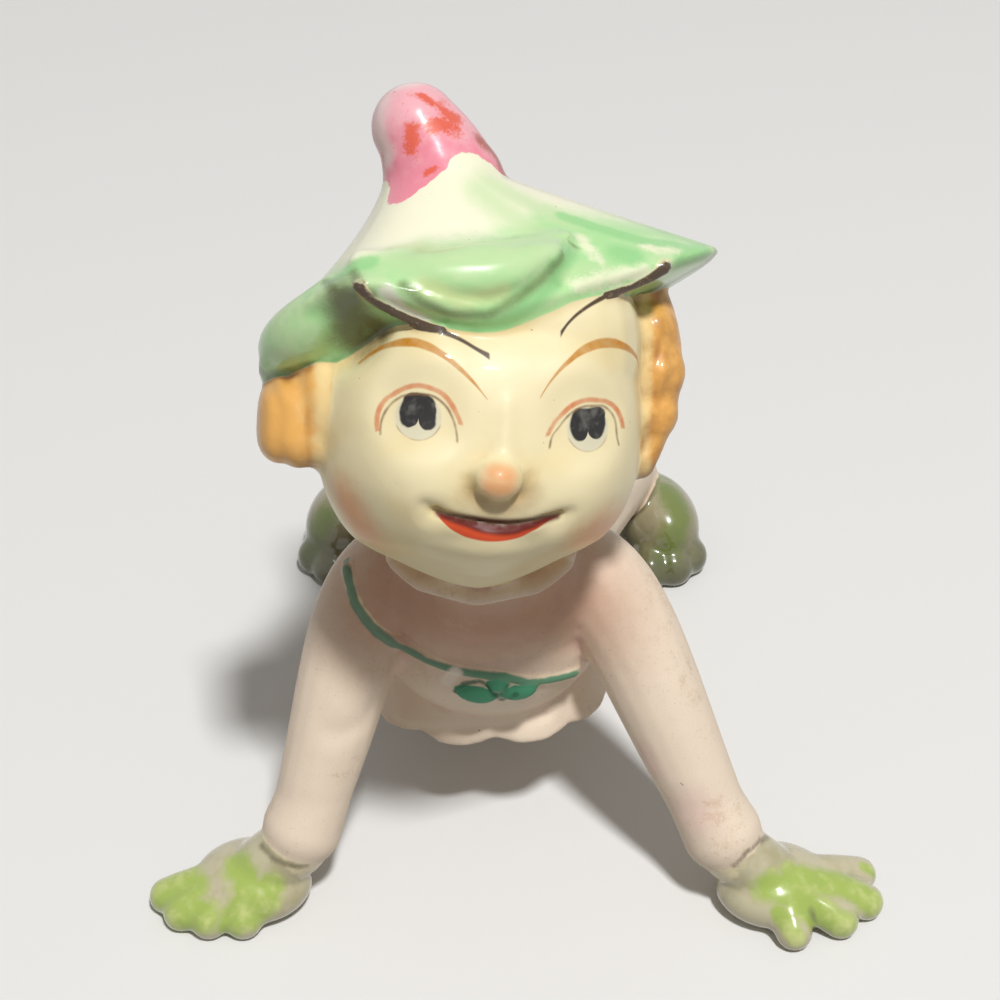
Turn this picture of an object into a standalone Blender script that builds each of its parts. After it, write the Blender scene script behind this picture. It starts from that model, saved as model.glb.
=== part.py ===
"""An elf figurine of painted and glazed earthenware, slip cast in one piece.

The elf squats in a leapfrog pose on two splayed hands and two splayed feet, with its head tilted up. It faces
-Y, +X is on the viewer's right, +Z is up, and the origin is on the table under the middle of the figurine.
The forms are modelled as a sculptor would: balls, rolls and lofts of clay are pressed together and smoothed,
thin rolls are laid over the surface for the cord, the bow and the twigs, the mouth and the folds are tooled
into it, and the soles are ground flat.
"""

import math

import bmesh
import bpy
import numpy as np
from mathutils import Matrix, Vector
from mathutils.bvhtree import BVHTree

MM = 0.001

# Body, in the modeller's own layout: the middle of the head is near x = 0 and the table is z = 0
BODY_SHIFT = -1.5 * MM
SHOULDER_HEIGHT = 43.5 * MM
SHOULDER_HALF_WIDTH = 18.0 * MM
SHOULDER_Y = -24.0 * MM
CHEST_WIDTH = 32.0 * MM
BELLY_DEPTH = 35.0 * MM
RUMP_Y = 13.0 * MM
RUMP_HEIGHT = 21.0 * MM
RUMP_WIDTH = 33.0 * MM
HEM_HEIGHT = 18.5 * MM
HEM_FLARE = 1.4 * MM
HEM_PETALS = 11
HEM_PETAL_DROP = 1.0 * MM
HEM_SQUARENESS = 2.8
NECK_THICK = 19.0 * MM

# Arms and hands
ARM_THICK = 13.4 * MM
WRIST_THICK = 8.6 * MM
CUFF_FLARE = 1.1 * MM
CUFF_LENGTH = 7.0 * MM
LEFT_PALM = Vector((-33.4, -40.7, 0.0)) * MM
RIGHT_PALM = Vector((37.0, -41.5, 0.0)) * MM
PALM_LENGTH = 16.2 * MM
PALM_THICK = 9.4 * MM
FINGER_THICK = 5.4 * MM
LEFT_FINGERS = ((-11.5, -1.6), (-9.2, -4.6), (-5.4, -6.0), (-0.8, -6.0))  # tips from the palm, in millimetres
RIGHT_FINGERS = ((11.9, 3.0), (12.2, -1.9), (8.4, -5.1), (2.0, -7.1))

# Legs and feet
LEG_THICK = 15.0 * MM
FOOT_HALF_SPREAD = 25.0 * MM
FOOT_Y = 33.0 * MM
FOOT_THICK = 13.4 * MM
TOE_THICK = 6.8 * MM
ANKLE_HEIGHT = 13.0 * MM

# Head, which is measured from its own middle
HEAD_LIFT = 28.5 * MM
HEAD_FORWARD = 10.0 * MM
HEAD_ASIDE = -1.1 * MM
HEAD_WIDTH = 37.4 * MM
HEAD_DEPTH = 37.0 * MM
CROWN_RISE = 19.3 * MM
CHIN_DROP = 17.4 * MM
SQUARENESS = ((-1.0, 1.6), (-0.85, 1.72), (-0.62, 2.1), (-0.35, 2.2), (0.15, 2.6))  # from the chin up
FACE_TILT = math.radians(32.0)
FACE_TURN = math.radians(8.0)
FACE_ROLL = math.radians(4.0)
FACE_LEAN = math.radians(4.6)  # the features lean a little more than the hat
FACE_ASIDE = 0.7 * MM
EYE_SPACING = 18.8 * MM
EYE_LEVEL = 3.6 * MM
NOSE_LEVEL = -3.2 * MM
NOSE_WIDTH = 5.9 * MM
MOUTH_LEVEL = -8.8 * MM
MOUTH_WIDTH = 13.6 * MM
CHEEK_FULLNESS = 1.6 * MM
COLLAR_RADIUS = 12.6 * MM
COLLAR_WAVES = 9

# Hat; the brim's edge is given at eight stations, from the front to +X and round, in millimetres
HAT_TIP = Vector((-7.0, 1.0, 36.5)) * MM
TIP_MIDDLE = Vector((-5.1, 1.0, 34.0)) * MM
TIP_BASE = Vector((-3.1, 1.0, 30.4)) * MM
TIP_THICK = 15.2 * MM
TIP_ROUND = 5.2 * MM
BRIM_REACH = (18.0, 19.2, 29.0, 21.5, 20.5, 21.5, 25.8, 23.4)
BRIM_RISE = (15.4, 18.8, 22.2, 13.0, 4.0, 4.0, 8.2, 18.0)
LINING = ((0.35, 6.0), (0.72, 4.8), (0.95, 1.5))
HOLLOW = 1.15
HOLLOW_LEFT = 0.13
POUCH_THICK = 8.6 * MM
SAG = (
    (-14.0, -13.5, 20.2), (-9.0, -14.4, 18.7), (-3.0, -14.6, 18.0),
    (3.0, -14.2, 18.8), (7.6, -12.2, 21.2), (8.6, -10.6, 23.2),
)
FOLD = ((-17.2, -11.5, 17.0), (-20.0, -9.5, 13.6), (-22.0, -5.0, 11.6), (-22.8, 2.0, 10.4), (-21.5, 7.0, 8.0))

# Rolls of clay laid on the surface, as places across and up it in millimetres
CORD_THICK = 1.5 * MM
BOW_LOOP = 4.4 * MM
TWIG_THICK = 1.4 * MM
CORD_LEFT = (
    (-19.6, 46.6), (-18.6, 44.1), (-16.1, 41.0), (-13.2, 37.8), (-9.6, 35.9), (-5.7, 35.3), (-2.6, 35.0),
)
CORD_RIGHT = ((0.5, 34.6), (3.7, 33.0), (6.9, 32.2), (9.8, 31.4))
BOW_PLACE = (-0.3, 33.2)
BOW_LOOPS = ((-3.1, 31.2, 2.8, 1.5, 14.0), (2.4, 31.4, 2.5, 1.4, -14.0))  # place, half sizes, turn
TWIG_LEFT = ((-14.6, 17.9), (-12.6, 15.8), (-8.6, 13.7), (-5.3, 12.7), (-2.6, 11.5), (-0.6, 10.2))
TWIG_RIGHT = ((7.6, 12.4), (10.2, 15.0), (13.2, 17.0), (16.0, 17.8), (18.0, 18.5), (20.0, 20.0))

# Tooled lines: places across and up in millimetres, half width and depth; a negative depth is a ridge
MOUTH_TOP = (
    (-6.5, -6.8), (-5.3, -7.2), (-3.0, -7.8), (-0.7, -8.3), (1.6, -8.5), (4.0, -8.2), (5.7, -7.7), (7.4, -7.4),
)
FACE_CUTS = (
    (MOUTH_TOP, 0.42, 0.7),
    (((-4.6, -8.9), (-2.4, -9.4), (0.0, -9.7), (2.2, -9.5), (4.5, -8.7)), 0.8, -0.4),
    (((-6.6, -6.7), (-7.8, -6.0)), 0.7, 0.35),
    (((7.4, -7.4), (8.5, -7.1)), 0.7, 0.3),
    (((-1.7, -5.3), (-1.2, -5.6)), 0.6, 0.35),
    (((2.3, -5.3), (2.7, -5.2)), 0.6, 0.35),
    (((-2.9, -4.6), (-3.3, -3.2)), 0.8, 0.3),
    (((3.5, -4.4), (3.8, -3.0)), 0.8, 0.3),
)
HAT_CUTS = (
    (((10.4, 25.2), (9.6, 22.6), (8.7, 20.6), (7.4, 17.9), (6.2, 15.6)), 0.9, 0.85),
    (((-10.2, 18.0), (-8.5, 17.4), (-4.7, 16.5), (-0.8, 16.2), (3.5, 17.4), (6.5, 20.0)), 0.9, 0.45),
    (((0.7, 28.4), (3.1, 26.1), (5.6, 24.5), (8.8, 23.2)), 1.1, 0.45),
    (((-9.4, 37.6), (-9.8, 34.1), (-10.2, 31.5), (-10.6, 29.5)), 1.3, 0.9),
    (((-2.0, 27.5), (-3.5, 24.5), (-6.0, 22.5)), 1.6, 0.25),
)
BODY_CUTS = (
    (((-14.6, 18.4), (-9.7, 19.7), (-6.8, 20.5), (-2.7, 20.9), (0.5, 21.0), (3.4, 21.7), (6.3, 22.4)), 0.9, 0.5),
    (((-21.5, 28.2), (-20.0, 28.2), (-18.0, 28.6), (-16.4, 30.2)), 1.0, 0.55),
)
HAIR_CUTS = (
    (((-24.4, 7.5), (-23.2, 4.0), (-23.6, 0.5), (-22.6, -3.0)), 0.6, 0.5),
    (((-21.0, 8.0), (-20.2, 4.0), (-20.8, 1.0), (-19.8, -3.0)), 0.6, 0.45),
    (((19.6, 14.5), (21.0, 11.0), (19.8, 7.0), (20.8, 3.0), (19.6, -1.0)), 0.6, 0.5),
    (((22.2, 12.0), (23.0, 8.5), (21.6, 5.0), (21.4, 2.0)), 0.6, 0.5),
)

# Casting
FINE = 0.7 * MM  # the smallest form that is kept
SOLE_GRIND = 0.6 * MM  # how much is ground off under hands and feet
FACES = 11600


def clear_scene():
    for thing in list(bpy.data.objects):
        bpy.data.objects.remove(thing, do_unlink=True)


def glaze(name, colour, roughness):
    material = bpy.data.materials.new(name)
    material.use_nodes = True
    shader = material.node_tree.nodes["Principled BSDF"]
    shader.inputs["Base Color"].default_value = (*colour, 1.0)
    shader.inputs["Roughness"].default_value = roughness
    shader.inputs["Metallic"].default_value = 0.0
    return material


def points_of(clay):
    return np.array([vert.co[:] for vert in clay.verts])


def move_points(clay, points):
    for vert, point in zip(clay.verts, points):
        vert.co = point


def add_clay(clay, more, matrix=None):
    """Presses another lump into the clay, after moving it by a matrix."""
    lump = bpy.data.meshes.new("lump")
    more.to_mesh(lump)
    more.free()
    if matrix is not None:
        lump.transform(matrix)
    clay.from_mesh(lump)
    bpy.data.meshes.remove(lump)


def squared(points, power):
    """Swells a round ball towards a box: 2 leaves it round, and more makes it squarer."""
    size = (np.abs(points) ** np.reshape(power, (-1, 1))).sum(axis=1)
    return points * (size ** (-1.0 / np.asarray(power)))[:, None]


def ball(clay, centre, radii, turn=(0.0, 0.0, 0.0), power=2.0):
    """A ball or an egg: radii is one number or one for each axis, and turn is in degrees."""
    sizes = (radii,) * 3 if isinstance(radii, float) else radii
    rotation = Matrix.Rotation(math.radians(turn[2]), 4, "Z")
    rotation @= Matrix.Rotation(math.radians(turn[1]), 4, "Y")
    rotation @= Matrix.Rotation(math.radians(turn[0]), 4, "X")
    egg = bmesh.new()
    bmesh.ops.create_uvsphere(egg, u_segments=32, v_segments=20, radius=1.0)
    move_points(egg, squared(points_of(egg), power))
    add_clay(clay, egg, Matrix.Translation(centre) @ rotation @ Matrix.Diagonal((*sizes, 1.0)))


def roll(clay, path, radii):
    """A roll of clay along a path, with its own radius at each point and a ball at each end."""
    curve = bpy.data.curves.new("roll", "CURVE")
    curve.dimensions = "3D"
    curve.bevel_depth = 1.0
    curve.bevel_resolution = 6
    curve.resolution_u = 10
    curve.use_fill_caps = True
    spline = curve.splines.new("NURBS")
    spline.points.add(len(path) - 1)
    spline.order_u = min(4, len(path))
    spline.use_endpoint_u = True
    for knot, place, radius in zip(spline.points, path, radii):
        knot.co = (*place, 1.0)
        knot.radius = radius
    holder = bpy.data.objects.new("roll", curve)
    bpy.context.collection.objects.link(holder)
    seen = holder.evaluated_get(bpy.context.evaluated_depsgraph_get())
    shape = bpy.data.meshes.new_from_object(seen)
    clay.from_mesh(shape)
    bpy.data.objects.remove(holder, do_unlink=True)
    bpy.data.meshes.remove(shape)
    for place, radius in ((path[0], radii[0]), (path[-1], radii[-1])):
        ball(clay, place, float(radius))


def loft(clay, rings):
    """Closes rings of equally many points into one skin, with a pole at each end."""
    loops = [[clay.verts.new(point) for point in ring] for ring in rings]
    count = len(loops[0])
    for lower, upper in zip(loops, loops[1:]):
        for i in range(count):
            j = (i + 1) % count
            clay.faces.new((lower[i], lower[j], upper[j], upper[i]))
    for loop, order in ((loops[0], -1), (loops[-1], 1)):
        middle = sum((vert.co for vert in loop), Vector()) / count
        pole = clay.verts.new(middle)
        for i in range(count):
            j = (i + 1) % count
            clay.faces.new((loop[i], loop[j], pole)[::order])


def press(points, centre, reach, push):
    """Pushes the points near a centre, fading to nothing at the reach, as a thumb does."""
    away = np.linalg.norm(points - np.asarray(centre), axis=1) / reach
    fade = np.clip(1.0 - away**2, 0.0, 1.0) ** 2
    return points + fade[:, None] * np.asarray(push)


def around(values, angle):
    """Reads a ring of equally spaced values smoothly at any angle."""
    count = len(values)
    place = (angle / (2 * math.pi) * count) % count
    first = int(place)
    part = place - first
    before, here, after, beyond = (values[(first + k) % count] for k in (-1, 0, 1, 2))
    slope_in = (after - before) / 2
    slope_out = (beyond - here) / 2
    square = part * part
    cube = square * part
    start = (2 * cube - 3 * square + 1) * here + (cube - 2 * square + part) * slope_in
    return start + (3 * square - 2 * cube) * after + (cube - square) * slope_out


def torso(clay):
    """A pear-shaped body that leans forward from the rump to the shoulders."""
    middle = BODY_SHIFT
    neck = NECK_THICK / 2
    chest = CHEST_WIDTH / 2
    belly = BELLY_DEPTH / 2
    rump = RUMP_WIDTH / 2
    waist = (SHOULDER_HEIGHT + RUMP_HEIGHT) / 2 - 3 * MM
    stations = (
        (Vector((middle, SHOULDER_Y - 4 * MM, SHOULDER_HEIGHT + 7 * MM)), neck, neck),
        (Vector((middle, SHOULDER_Y - 1 * MM, SHOULDER_HEIGHT + 2 * MM)), 0.9 * chest, 0.62 * belly),
        (Vector((middle, SHOULDER_Y + 4 * MM, SHOULDER_HEIGHT - 7 * MM)), chest, 0.8 * belly),
        (Vector((middle, 0.4 * SHOULDER_Y, waist)), 1.03 * chest, belly),
        (Vector((middle, RUMP_Y, RUMP_HEIGHT)), rump, 0.86 * belly),
        (Vector((middle, RUMP_Y + 11 * MM, RUMP_HEIGHT - 2 * MM)), 0.66 * rump, 0.5 * belly),
    )
    side = Vector((1.0, 0.0, 0.0))
    rings = []
    for k, (centre, half_width, half_depth) in enumerate(stations):
        before = stations[max(k - 1, 0)][0]
        after = stations[min(k + 1, len(stations) - 1)][0]
        along = (after - before).normalized()
        across = along.cross(side)
        ring = []
        for i in range(48):
            angle = 2 * math.pi * i / 48
            ring.append(centre + side * half_width * math.cos(angle) + across * half_depth * math.sin(angle))
        rings.append(ring)
    loft(clay, rings)
    ball(clay, stations[-2][0] + Vector((0.0, 4 * MM, 0.0)), (rump * 0.92, rump * 0.95, belly * 0.8))
    ball(clay, stations[2][0] + Vector((0.0, -1 * MM, -2 * MM)), (chest * 0.98, belly * 0.72, belly * 0.82))


def tunic_hem(clay):
    """The tunic's lower edge: a flared band round the belly that ends in petals."""
    half_width = CHEST_WIDTH / 2 + HEM_FLARE
    front = SHOULDER_Y - 5.5 * MM
    back = RUMP_Y + 4 * MM
    middle = Vector((BODY_SHIFT, (front + back) / 2, 0.0))
    half_depth = (back - front) / 2
    rows = ((0.78, 12.0, 0.0), (0.93, 6.0, 0.0), (1.0, 0.0, 1.0), (0.9, -0.6, 1.0), (0.5, 3.0, 0.0))
    rings = []
    for share, lift, petal in rows:
        ring = []
        for i in range(132):
            angle = 2 * math.pi * i / 132
            across, along = math.cos(angle), math.sin(angle)
            plan = (abs(across) ** HEM_SQUARENESS + abs(along) ** HEM_SQUARENESS) ** (-1 / HEM_SQUARENESS)
            wave = abs(math.cos(HEM_PETALS * angle / 2 + 0.5))
            drop = petal * HEM_PETAL_DROP * (wave - 1.0)
            reach = share * (1.0 + 0.03 * petal * wave) * plan
            rise = HEM_HEIGHT + lift * MM - drop - petal * 3 * MM * (1 + along) / 2 + 0.7 * MM * across
            out = Vector((half_width * across, half_depth * along, 0.0))
            ring.append(middle + out * reach + Vector((0.0, 0.0, rise)))
        rings.append(ring)
    loft(clay, rings)


def wrist_of(side, palm):
    return palm + Vector((-side * 6 * MM, 1.2 * MM, PALM_THICK))


def arm(clay, side, palm):
    """A straight arm from the shoulder to the flared cuff."""
    thick = ARM_THICK / 2
    thin = WRIST_THICK / 2
    shoulder = Vector((BODY_SHIFT + side * SHOULDER_HALF_WIDTH, SHOULDER_Y, SHOULDER_HEIGHT))
    wrist = wrist_of(side, palm)
    elbow = shoulder.lerp(wrist, 0.45) + Vector((-side * 3.3 * MM, -0.5 * MM, 1.0 * MM))
    inside = shoulder + Vector((-side * 8 * MM, 2 * MM, 0.0))
    roll(clay, (inside, shoulder, elbow, wrist), (thick, thick * 1.04, thick * 0.96, thin))
    down = (wrist - elbow).normalized()
    cuff_end = wrist - down * 3.0 * MM
    cuff_start = cuff_end - down * CUFF_LENGTH
    roll(clay, (cuff_start, cuff_end), (thin + 0.5 * MM, thin + CUFF_FLARE))


def hand(clay, side, palm, tips):
    """A flat paw: a palm and four short fingers that fan out from it."""
    wrist = wrist_of(side, palm)
    flat = PALM_THICK / 2
    thin = FINGER_THICK / 2
    middle = palm + Vector((0.0, 0.0, 0.42 * PALM_THICK))
    ball(clay, middle, (PALM_LENGTH / 2, PALM_LENGTH * 0.42, flat))
    heel = (wrist + palm) / 2 + Vector((0.0, 0.0, 3.4 * MM))
    roll(clay, (wrist, heel, middle), (WRIST_THICK / 2, WRIST_THICK / 2, flat))
    for x, y in tips:
        ahead = Vector((x, y, 0.0)) * MM
        root = palm + ahead * 0.2 + Vector((0.0, 0.0, thin + 1.9 * MM))
        knuckle = palm + ahead * 0.62 + Vector((0.0, 0.0, thin + 1.5 * MM))
        tip = palm + ahead + Vector((0.0, 0.0, thin - 0.1 * MM))
        roll(clay, (root, knuckle, tip), (thin * 1.1, thin * 1.05, thin * 0.95))


def sole_of(side):
    return Vector((BODY_SHIFT + 1.9 * MM + side * FOOT_HALF_SPREAD, FOOT_Y, 0.0))


def leg(clay, side):
    """A short leg that folds down from the rump."""
    ankle = sole_of(side) + Vector((-side * 5.5 * MM, 7.0 * MM, ANKLE_HEIGHT))
    hip = Vector((BODY_SHIFT + side * RUMP_WIDTH * 0.32, RUMP_Y + 3 * MM, RUMP_HEIGHT))
    half = LEG_THICK / 2
    knee = hip.lerp(ankle, 0.6) + Vector((0.0, 0.0, 2 * MM))
    roll(clay, (hip, knee, ankle), (half * 1.15, half, half * 0.8))


def foot(clay, side):
    """A bulbous webbed foot that points forward and out, with three toes."""
    sole = sole_of(side)
    half = FOOT_THICK / 2
    instep = sole + Vector((side * 0.2 * MM, 3.6 * MM, half))
    ball(clay, instep, (half * 0.98, half * 1.45, half), (0, 0, side * 24))
    toe = TOE_THICK / 2
    for angle in (100.0, 62.0, 24.0):
        ahead = Vector((side * math.cos(math.radians(angle)), -math.sin(math.radians(angle)), 0.0))
        root = sole + Vector((0.0, 0.0, toe + 1.5 * MM))
        tip = sole + ahead * (0.55 * FOOT_THICK - 1.6 * MM) + Vector((0.0, 0.0, toe - 0.2 * MM))
        roll(clay, (root, tip), (toe * 1.1, toe))


def head_place():
    """Where the head's own middle lies, turned, tilted back and rolled."""
    middle = Vector((BODY_SHIFT + HEAD_ASIDE, SHOULDER_Y - HEAD_FORWARD, SHOULDER_HEIGHT + HEAD_LIFT))
    turn = Matrix.Rotation(FACE_TURN, 4, "Z") @ Matrix.Rotation(-FACE_TILT, 4, "X")
    return Matrix.Translation(middle) @ turn @ Matrix.Rotation(FACE_ROLL, 4, "Y")


def head_power(height):
    """How square the head is at a height, which is -1 at the chin and 1 at the crown."""
    return np.interp(height, *zip(*SQUARENESS))


def on_face(x, z, proud=0.0):
    """A point of the plain head's front, given where it lies on the leaning face."""
    across = x * math.cos(FACE_LEAN) + z * math.sin(FACE_LEAN) + FACE_ASIDE
    height = z * math.cos(FACE_LEAN) - x * math.sin(FACE_LEAN)
    rise = height / (CROWN_RISE if height > 0 else CHIN_DROP)
    power = float(head_power(rise))
    share = 1.0 - abs(2 * across / HEAD_WIDTH) ** power - abs(rise) ** power
    return np.array((across, -HEAD_DEPTH / 2 * max(share, 0.02) ** (1 / power) - proud, height))


def collar(clay):
    """A thin ruffle round the neck, just under the chin."""
    middle = Vector((BODY_SHIFT - 0.8 * MM, SHOULDER_Y - 7.0 * MM, SHOULDER_HEIGHT + 11.5 * MM))
    rows = ((0.5, 1.6), (0.8, 1.3), (0.98, 0.7), (1.0, 0.1), (0.96, -0.5), (0.8, -0.9), (0.5, -1.6))
    rings = []
    for share, lift in rows:
        ring = []
        for i in range(144):
            angle = 2 * math.pi * i / 144
            wave = math.sin(COLLAR_WAVES * angle + 0.4)
            radius = COLLAR_RADIUS * share * (1.0 + 0.03 * wave)
            height = lift * MM + 0.6 * MM * wave * share
            ring.append(middle + Vector((radius * math.cos(angle), radius * math.sin(angle), height)))
        rings.append(ring)
    loft(clay, rings)


def neck(clay):
    throat = Vector((BODY_SHIFT, SHOULDER_Y - 3 * MM, SHOULDER_HEIGHT + 3 * MM))
    top = Vector((BODY_SHIFT, SHOULDER_Y - 7.0 * MM, SHOULDER_HEIGHT + 19.5 * MM))
    roll(clay, (throat, throat.lerp(top, 0.5), top), (NECK_THICK / 2,) * 3)


def head(clay):
    """The head as an egg with a square brow, pressed into brows, eye hollows, cheeks, mouth and chin."""
    skull = bmesh.new()
    bmesh.ops.create_icosphere(skull, subdivisions=6, radius=1.0)
    unit = points_of(skull)
    tall = np.where(unit[:, 2] > 0, CROWN_RISE, CHIN_DROP)
    sizes = np.stack([np.full(len(unit), HEAD_WIDTH / 2), np.full(len(unit), HEAD_DEPTH / 2), tall], axis=1)
    points = squared(unit, head_power(unit[:, 2])) * sizes
    for side in (-1, 1):
        eye = on_face(side * EYE_SPACING / 2, EYE_LEVEL)
        cheek = on_face(side * 10.0 * MM, -5.5 * MM)
        brow = on_face(side * 9.0 * MM, 9.5 * MM)
        corner = on_face(side * MOUTH_WIDTH / 2, MOUTH_LEVEL + 1.4 * MM, 0.6 * MM)
        points = press(points, cheek, 9.0 * MM, (0.0, -CHEEK_FULLNESS, 0.0))
        points = press(points, eye, 6.5 * MM, (0.0, 1.5 * MM, 0.0))
        points = press(points, eye, 4.2 * MM, (0.0, -1.0 * MM, 0.0))
        points = press(points, brow, 6.5 * MM, (0.0, -0.7 * MM, 0.3 * MM))
        points = press(points, corner, 2.4 * MM, (0.0, 0.9 * MM, 0.0))
    points = press(points, np.array((-15.5, -11.0, 13.5)) * MM, 6.5 * MM, (0.8 * MM, 3.4 * MM, 0.0))
    points = press(points, on_face(0.0, -13.5 * MM), 8.0 * MM, (0.0, -1.4 * MM, 0.0))
    points = press(points, on_face(0.0, MOUTH_LEVEL - 2.2 * MM), 4.2 * MM, (0.0, -0.7 * MM, 0.0))
    move_points(skull, points)
    wide = NOSE_WIDTH / 2
    ball(skull, on_face(-0.3 * MM, NOSE_LEVEL, 0.4 * MM), (wide, wide * 0.95, wide * 0.84))
    bridge = on_face(0.1 * MM, NOSE_LEVEL + 0.5 * MM, -0.6 * MM)
    root = on_face(0.2 * MM, EYE_LEVEL + 1.5 * MM, -0.9 * MM)
    roll(skull, (bridge, root), (wide * 0.62, wide * 0.42))
    crown = Vector((2.4, 0.6, 11.0)) * MM
    ball(skull, crown, (16.2 * MM, 16.4 * MM, 9.6 * MM), power=3.0)
    add_clay(clay, skull, head_place())


def hair(clay):
    """Bobbed hair: a square curl on the viewer's left, a wavy lock on the right and a mass behind."""
    curls = bmesh.new()
    half = HEAD_WIDTH / 2
    ball(curls, (-half - 0.8 * MM, 1.5 * MM, 2.5 * MM), (6.3 * MM, 9.0 * MM, 5.5 * MM), (0, 4, 0), 3.4)
    ball(curls, (-half + 1.0 * MM, -3.0 * MM, 5.0 * MM), (4.6 * MM, 6.0 * MM, 7.0 * MM))
    lock = ((-1.0, 2, 18), (3.2, 0.5, 10.5), (2.4, 0, 3.5), (0.6, -0.5, -3.0))
    path = [Vector((half + x * MM, y * MM, z * MM)) for x, y, z in lock]
    roll(curls, path, (4.5 * MM, 4.6 * MM, 3.2 * MM, 1.8 * MM))
    for x, z, size in ((1.0, 12.5, 4.2), (1.7, 8.0, 4.3), (1.6, 3.2, 3.6)):
        ball(curls, (half + x * MM, -0.5 * MM, z * MM), size * MM)
    ball(curls, (half - 1.0 * MM, 6.0 * MM, 5.0 * MM), (5.0 * MM, 7.5 * MM, 9.0 * MM))
    for angle in range(18, 163, 16):
        across = math.cos(math.radians(angle))
        behind = math.sin(math.radians(angle))
        top = Vector((across * (half - 5 * MM), behind * HEAD_DEPTH * 0.4, 12.0 * MM))
        nape = Vector((across * half, behind * HEAD_DEPTH * 0.52, 3.0 * MM))
        bottom = Vector((across * (half - 4 * MM), behind * HEAD_DEPTH * 0.47, -3.0 * MM - 4 * MM * behind))
        roll(curls, (top, nape, bottom), (4.6 * MM, 4.4 * MM, 3.4 * MM))
    add_clay(clay, curls, head_place())


def hat(clay):
    """A soft cone with a hollow flank, a leaning blunt tip, and a brim that dips, flares and hangs."""
    felt = bmesh.new()
    angles = [2 * math.pi * i / 96 for i in range(96)]
    edges = []
    tops = []
    for angle in angles:
        out = Vector((math.sin(angle), -math.cos(angle), 0.0))
        edges.append(out * around(BRIM_REACH, angle) * MM + Vector((0.0, 0.0, around(BRIM_RISE, angle) * MM)))
        tops.append(TIP_BASE + out * TIP_THICK / 2)
    rings = []
    for inward, drop in LINING:
        lining = Vector((inward, inward, 1.0))
        rings.append([edge * lining - Vector((0.0, 0.0, drop * MM)) for edge in edges])
    for share in np.linspace(0.0, 1.0, 14):
        ring = []
        for angle, edge, top in zip(angles, edges, tops):
            part = (1.0 - share) ** (HOLLOW - HOLLOW_LEFT * math.sin(angle))
            flank = top.lerp(edge, part)
            flank.z = edge.z + (top.z - edge.z) * share
            ring.append(flank)
        rings.append(ring)
    loft(felt, rings)
    half = TIP_THICK / 2
    stem = TIP_BASE + Vector((-0.5, 0.0, -1.1)) * MM
    roll(felt, (stem, TIP_MIDDLE, HAT_TIP), (half * 0.96, half * 0.83, TIP_ROUND))
    brim_folds(felt)
    add_clay(clay, felt, head_place())


def brim_folds(felt):
    """The soft pouch that sags over the forehead and the heavy fold that hangs over the left curl."""
    half = POUCH_THICK / 2
    path = [Vector(point) * MM for point in SAG]
    roll(felt, path, (half * 0.4, half * 0.78, half * 1.03, half * 1.0, half * 0.7, half * 0.3))
    path = [Vector(point) * MM for point in FOLD]
    roll(felt, path, (half * 0.5, half * 0.8, half * 0.86, half * 0.74, half * 0.5))


def fused(clay, fine, rounds, name):
    """Melts all the lumps into one skin and smooths the seams between them."""
    shape = bpy.data.meshes.new(name)
    clay.to_mesh(shape)
    clay.free()
    thing = bpy.data.objects.new(name, shape)
    bpy.context.collection.objects.link(thing)
    melt = thing.modifiers.new("melt", "REMESH")
    melt.mode = "VOXEL"
    melt.voxel_size = fine
    soften = thing.modifiers.new("soften", "SMOOTH")
    soften.factor = 0.5
    soften.iterations = rounds
    seen = thing.evaluated_get(bpy.context.evaluated_depsgraph_get())
    skin = bpy.data.meshes.new_from_object(seen)
    bpy.data.objects.remove(thing, do_unlink=True)
    return skin


def laid_on(tree, places, start, toward):
    """Drops points onto the skin along a direction, and keeps those that land."""
    landed = []
    for place in places:
        spot = tree.ray_cast(start + place, toward)[0]
        if spot is not None:
            landed.append(spot)
    return landed


def cord(clay, tree):
    """The cord hangs from shoulder to shoulder."""
    places = [Vector((x, 0.0, z)) * MM for x, z in CORD_LEFT + CORD_RIGHT]
    landed = laid_on(tree, places, Vector((0.0, -60 * MM, 0.0)), Vector((0.0, 1.0, 0.0)))
    roll(clay, landed, [CORD_THICK / 2] * len(landed))


def bow(clay, tree):
    """A knot and two flat loops on the cord's lowest point."""
    outside, inward = Vector((0.0, -60 * MM, 0.0)), Vector((0.0, 1.0, 0.0))
    x, z = BOW_PLACE
    for centre in laid_on(tree, [Vector((x, 0.0, z)) * MM], outside, inward):
        ball(clay, centre, 0.3 * BOW_LOOP)
    for x, z, wide, high, turn in BOW_LOOPS:
        for centre in laid_on(tree, [Vector((x, 0.0, z)) * MM], outside, inward):
            ball(clay, centre, (wide * MM, 1.2 * MM, high * MM), (0, turn, 0))


def twigs(clay, tree):
    """Two thin twigs that peep out under the brim and run down over the forehead."""
    place = head_place()
    inward = place.to_3x3() @ Vector((0.0, 1.0, 0.0))
    half = TWIG_THICK / 2
    sizes = ((1.0, 1.0, 0.95, 0.8, 0.6, 0.35), (0.35, 0.6, 0.8, 0.9, 1.1, 1.45))
    for route, radii in zip((TWIG_LEFT, TWIG_RIGHT), sizes):
        places = [place @ Vector((x * MM, -40 * MM, z * MM)) for x, z in route]
        landed = laid_on(tree, places, Vector(), inward)
        roll(clay, landed, [half * radius for radius in radii[: len(landed)]])


def read(mesh, name, width=3):
    values = np.empty(len(mesh.vertices) * width)
    mesh.vertices.foreach_get(name, values)
    return values.reshape(-1, width)


def line_distance(flat, line):
    """How far each flat point is from a drawn line."""
    nearest = np.full(len(flat), np.inf)
    for start, end in zip(line, line[1:]):
        start, along = np.array(start), np.subtract(end, start)
        share = np.clip((flat - start) @ along / (along @ along), 0.0, 1.0)
        nearest = np.minimum(nearest, np.linalg.norm(flat - start - share[:, None] * along, axis=1))
    return nearest


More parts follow.
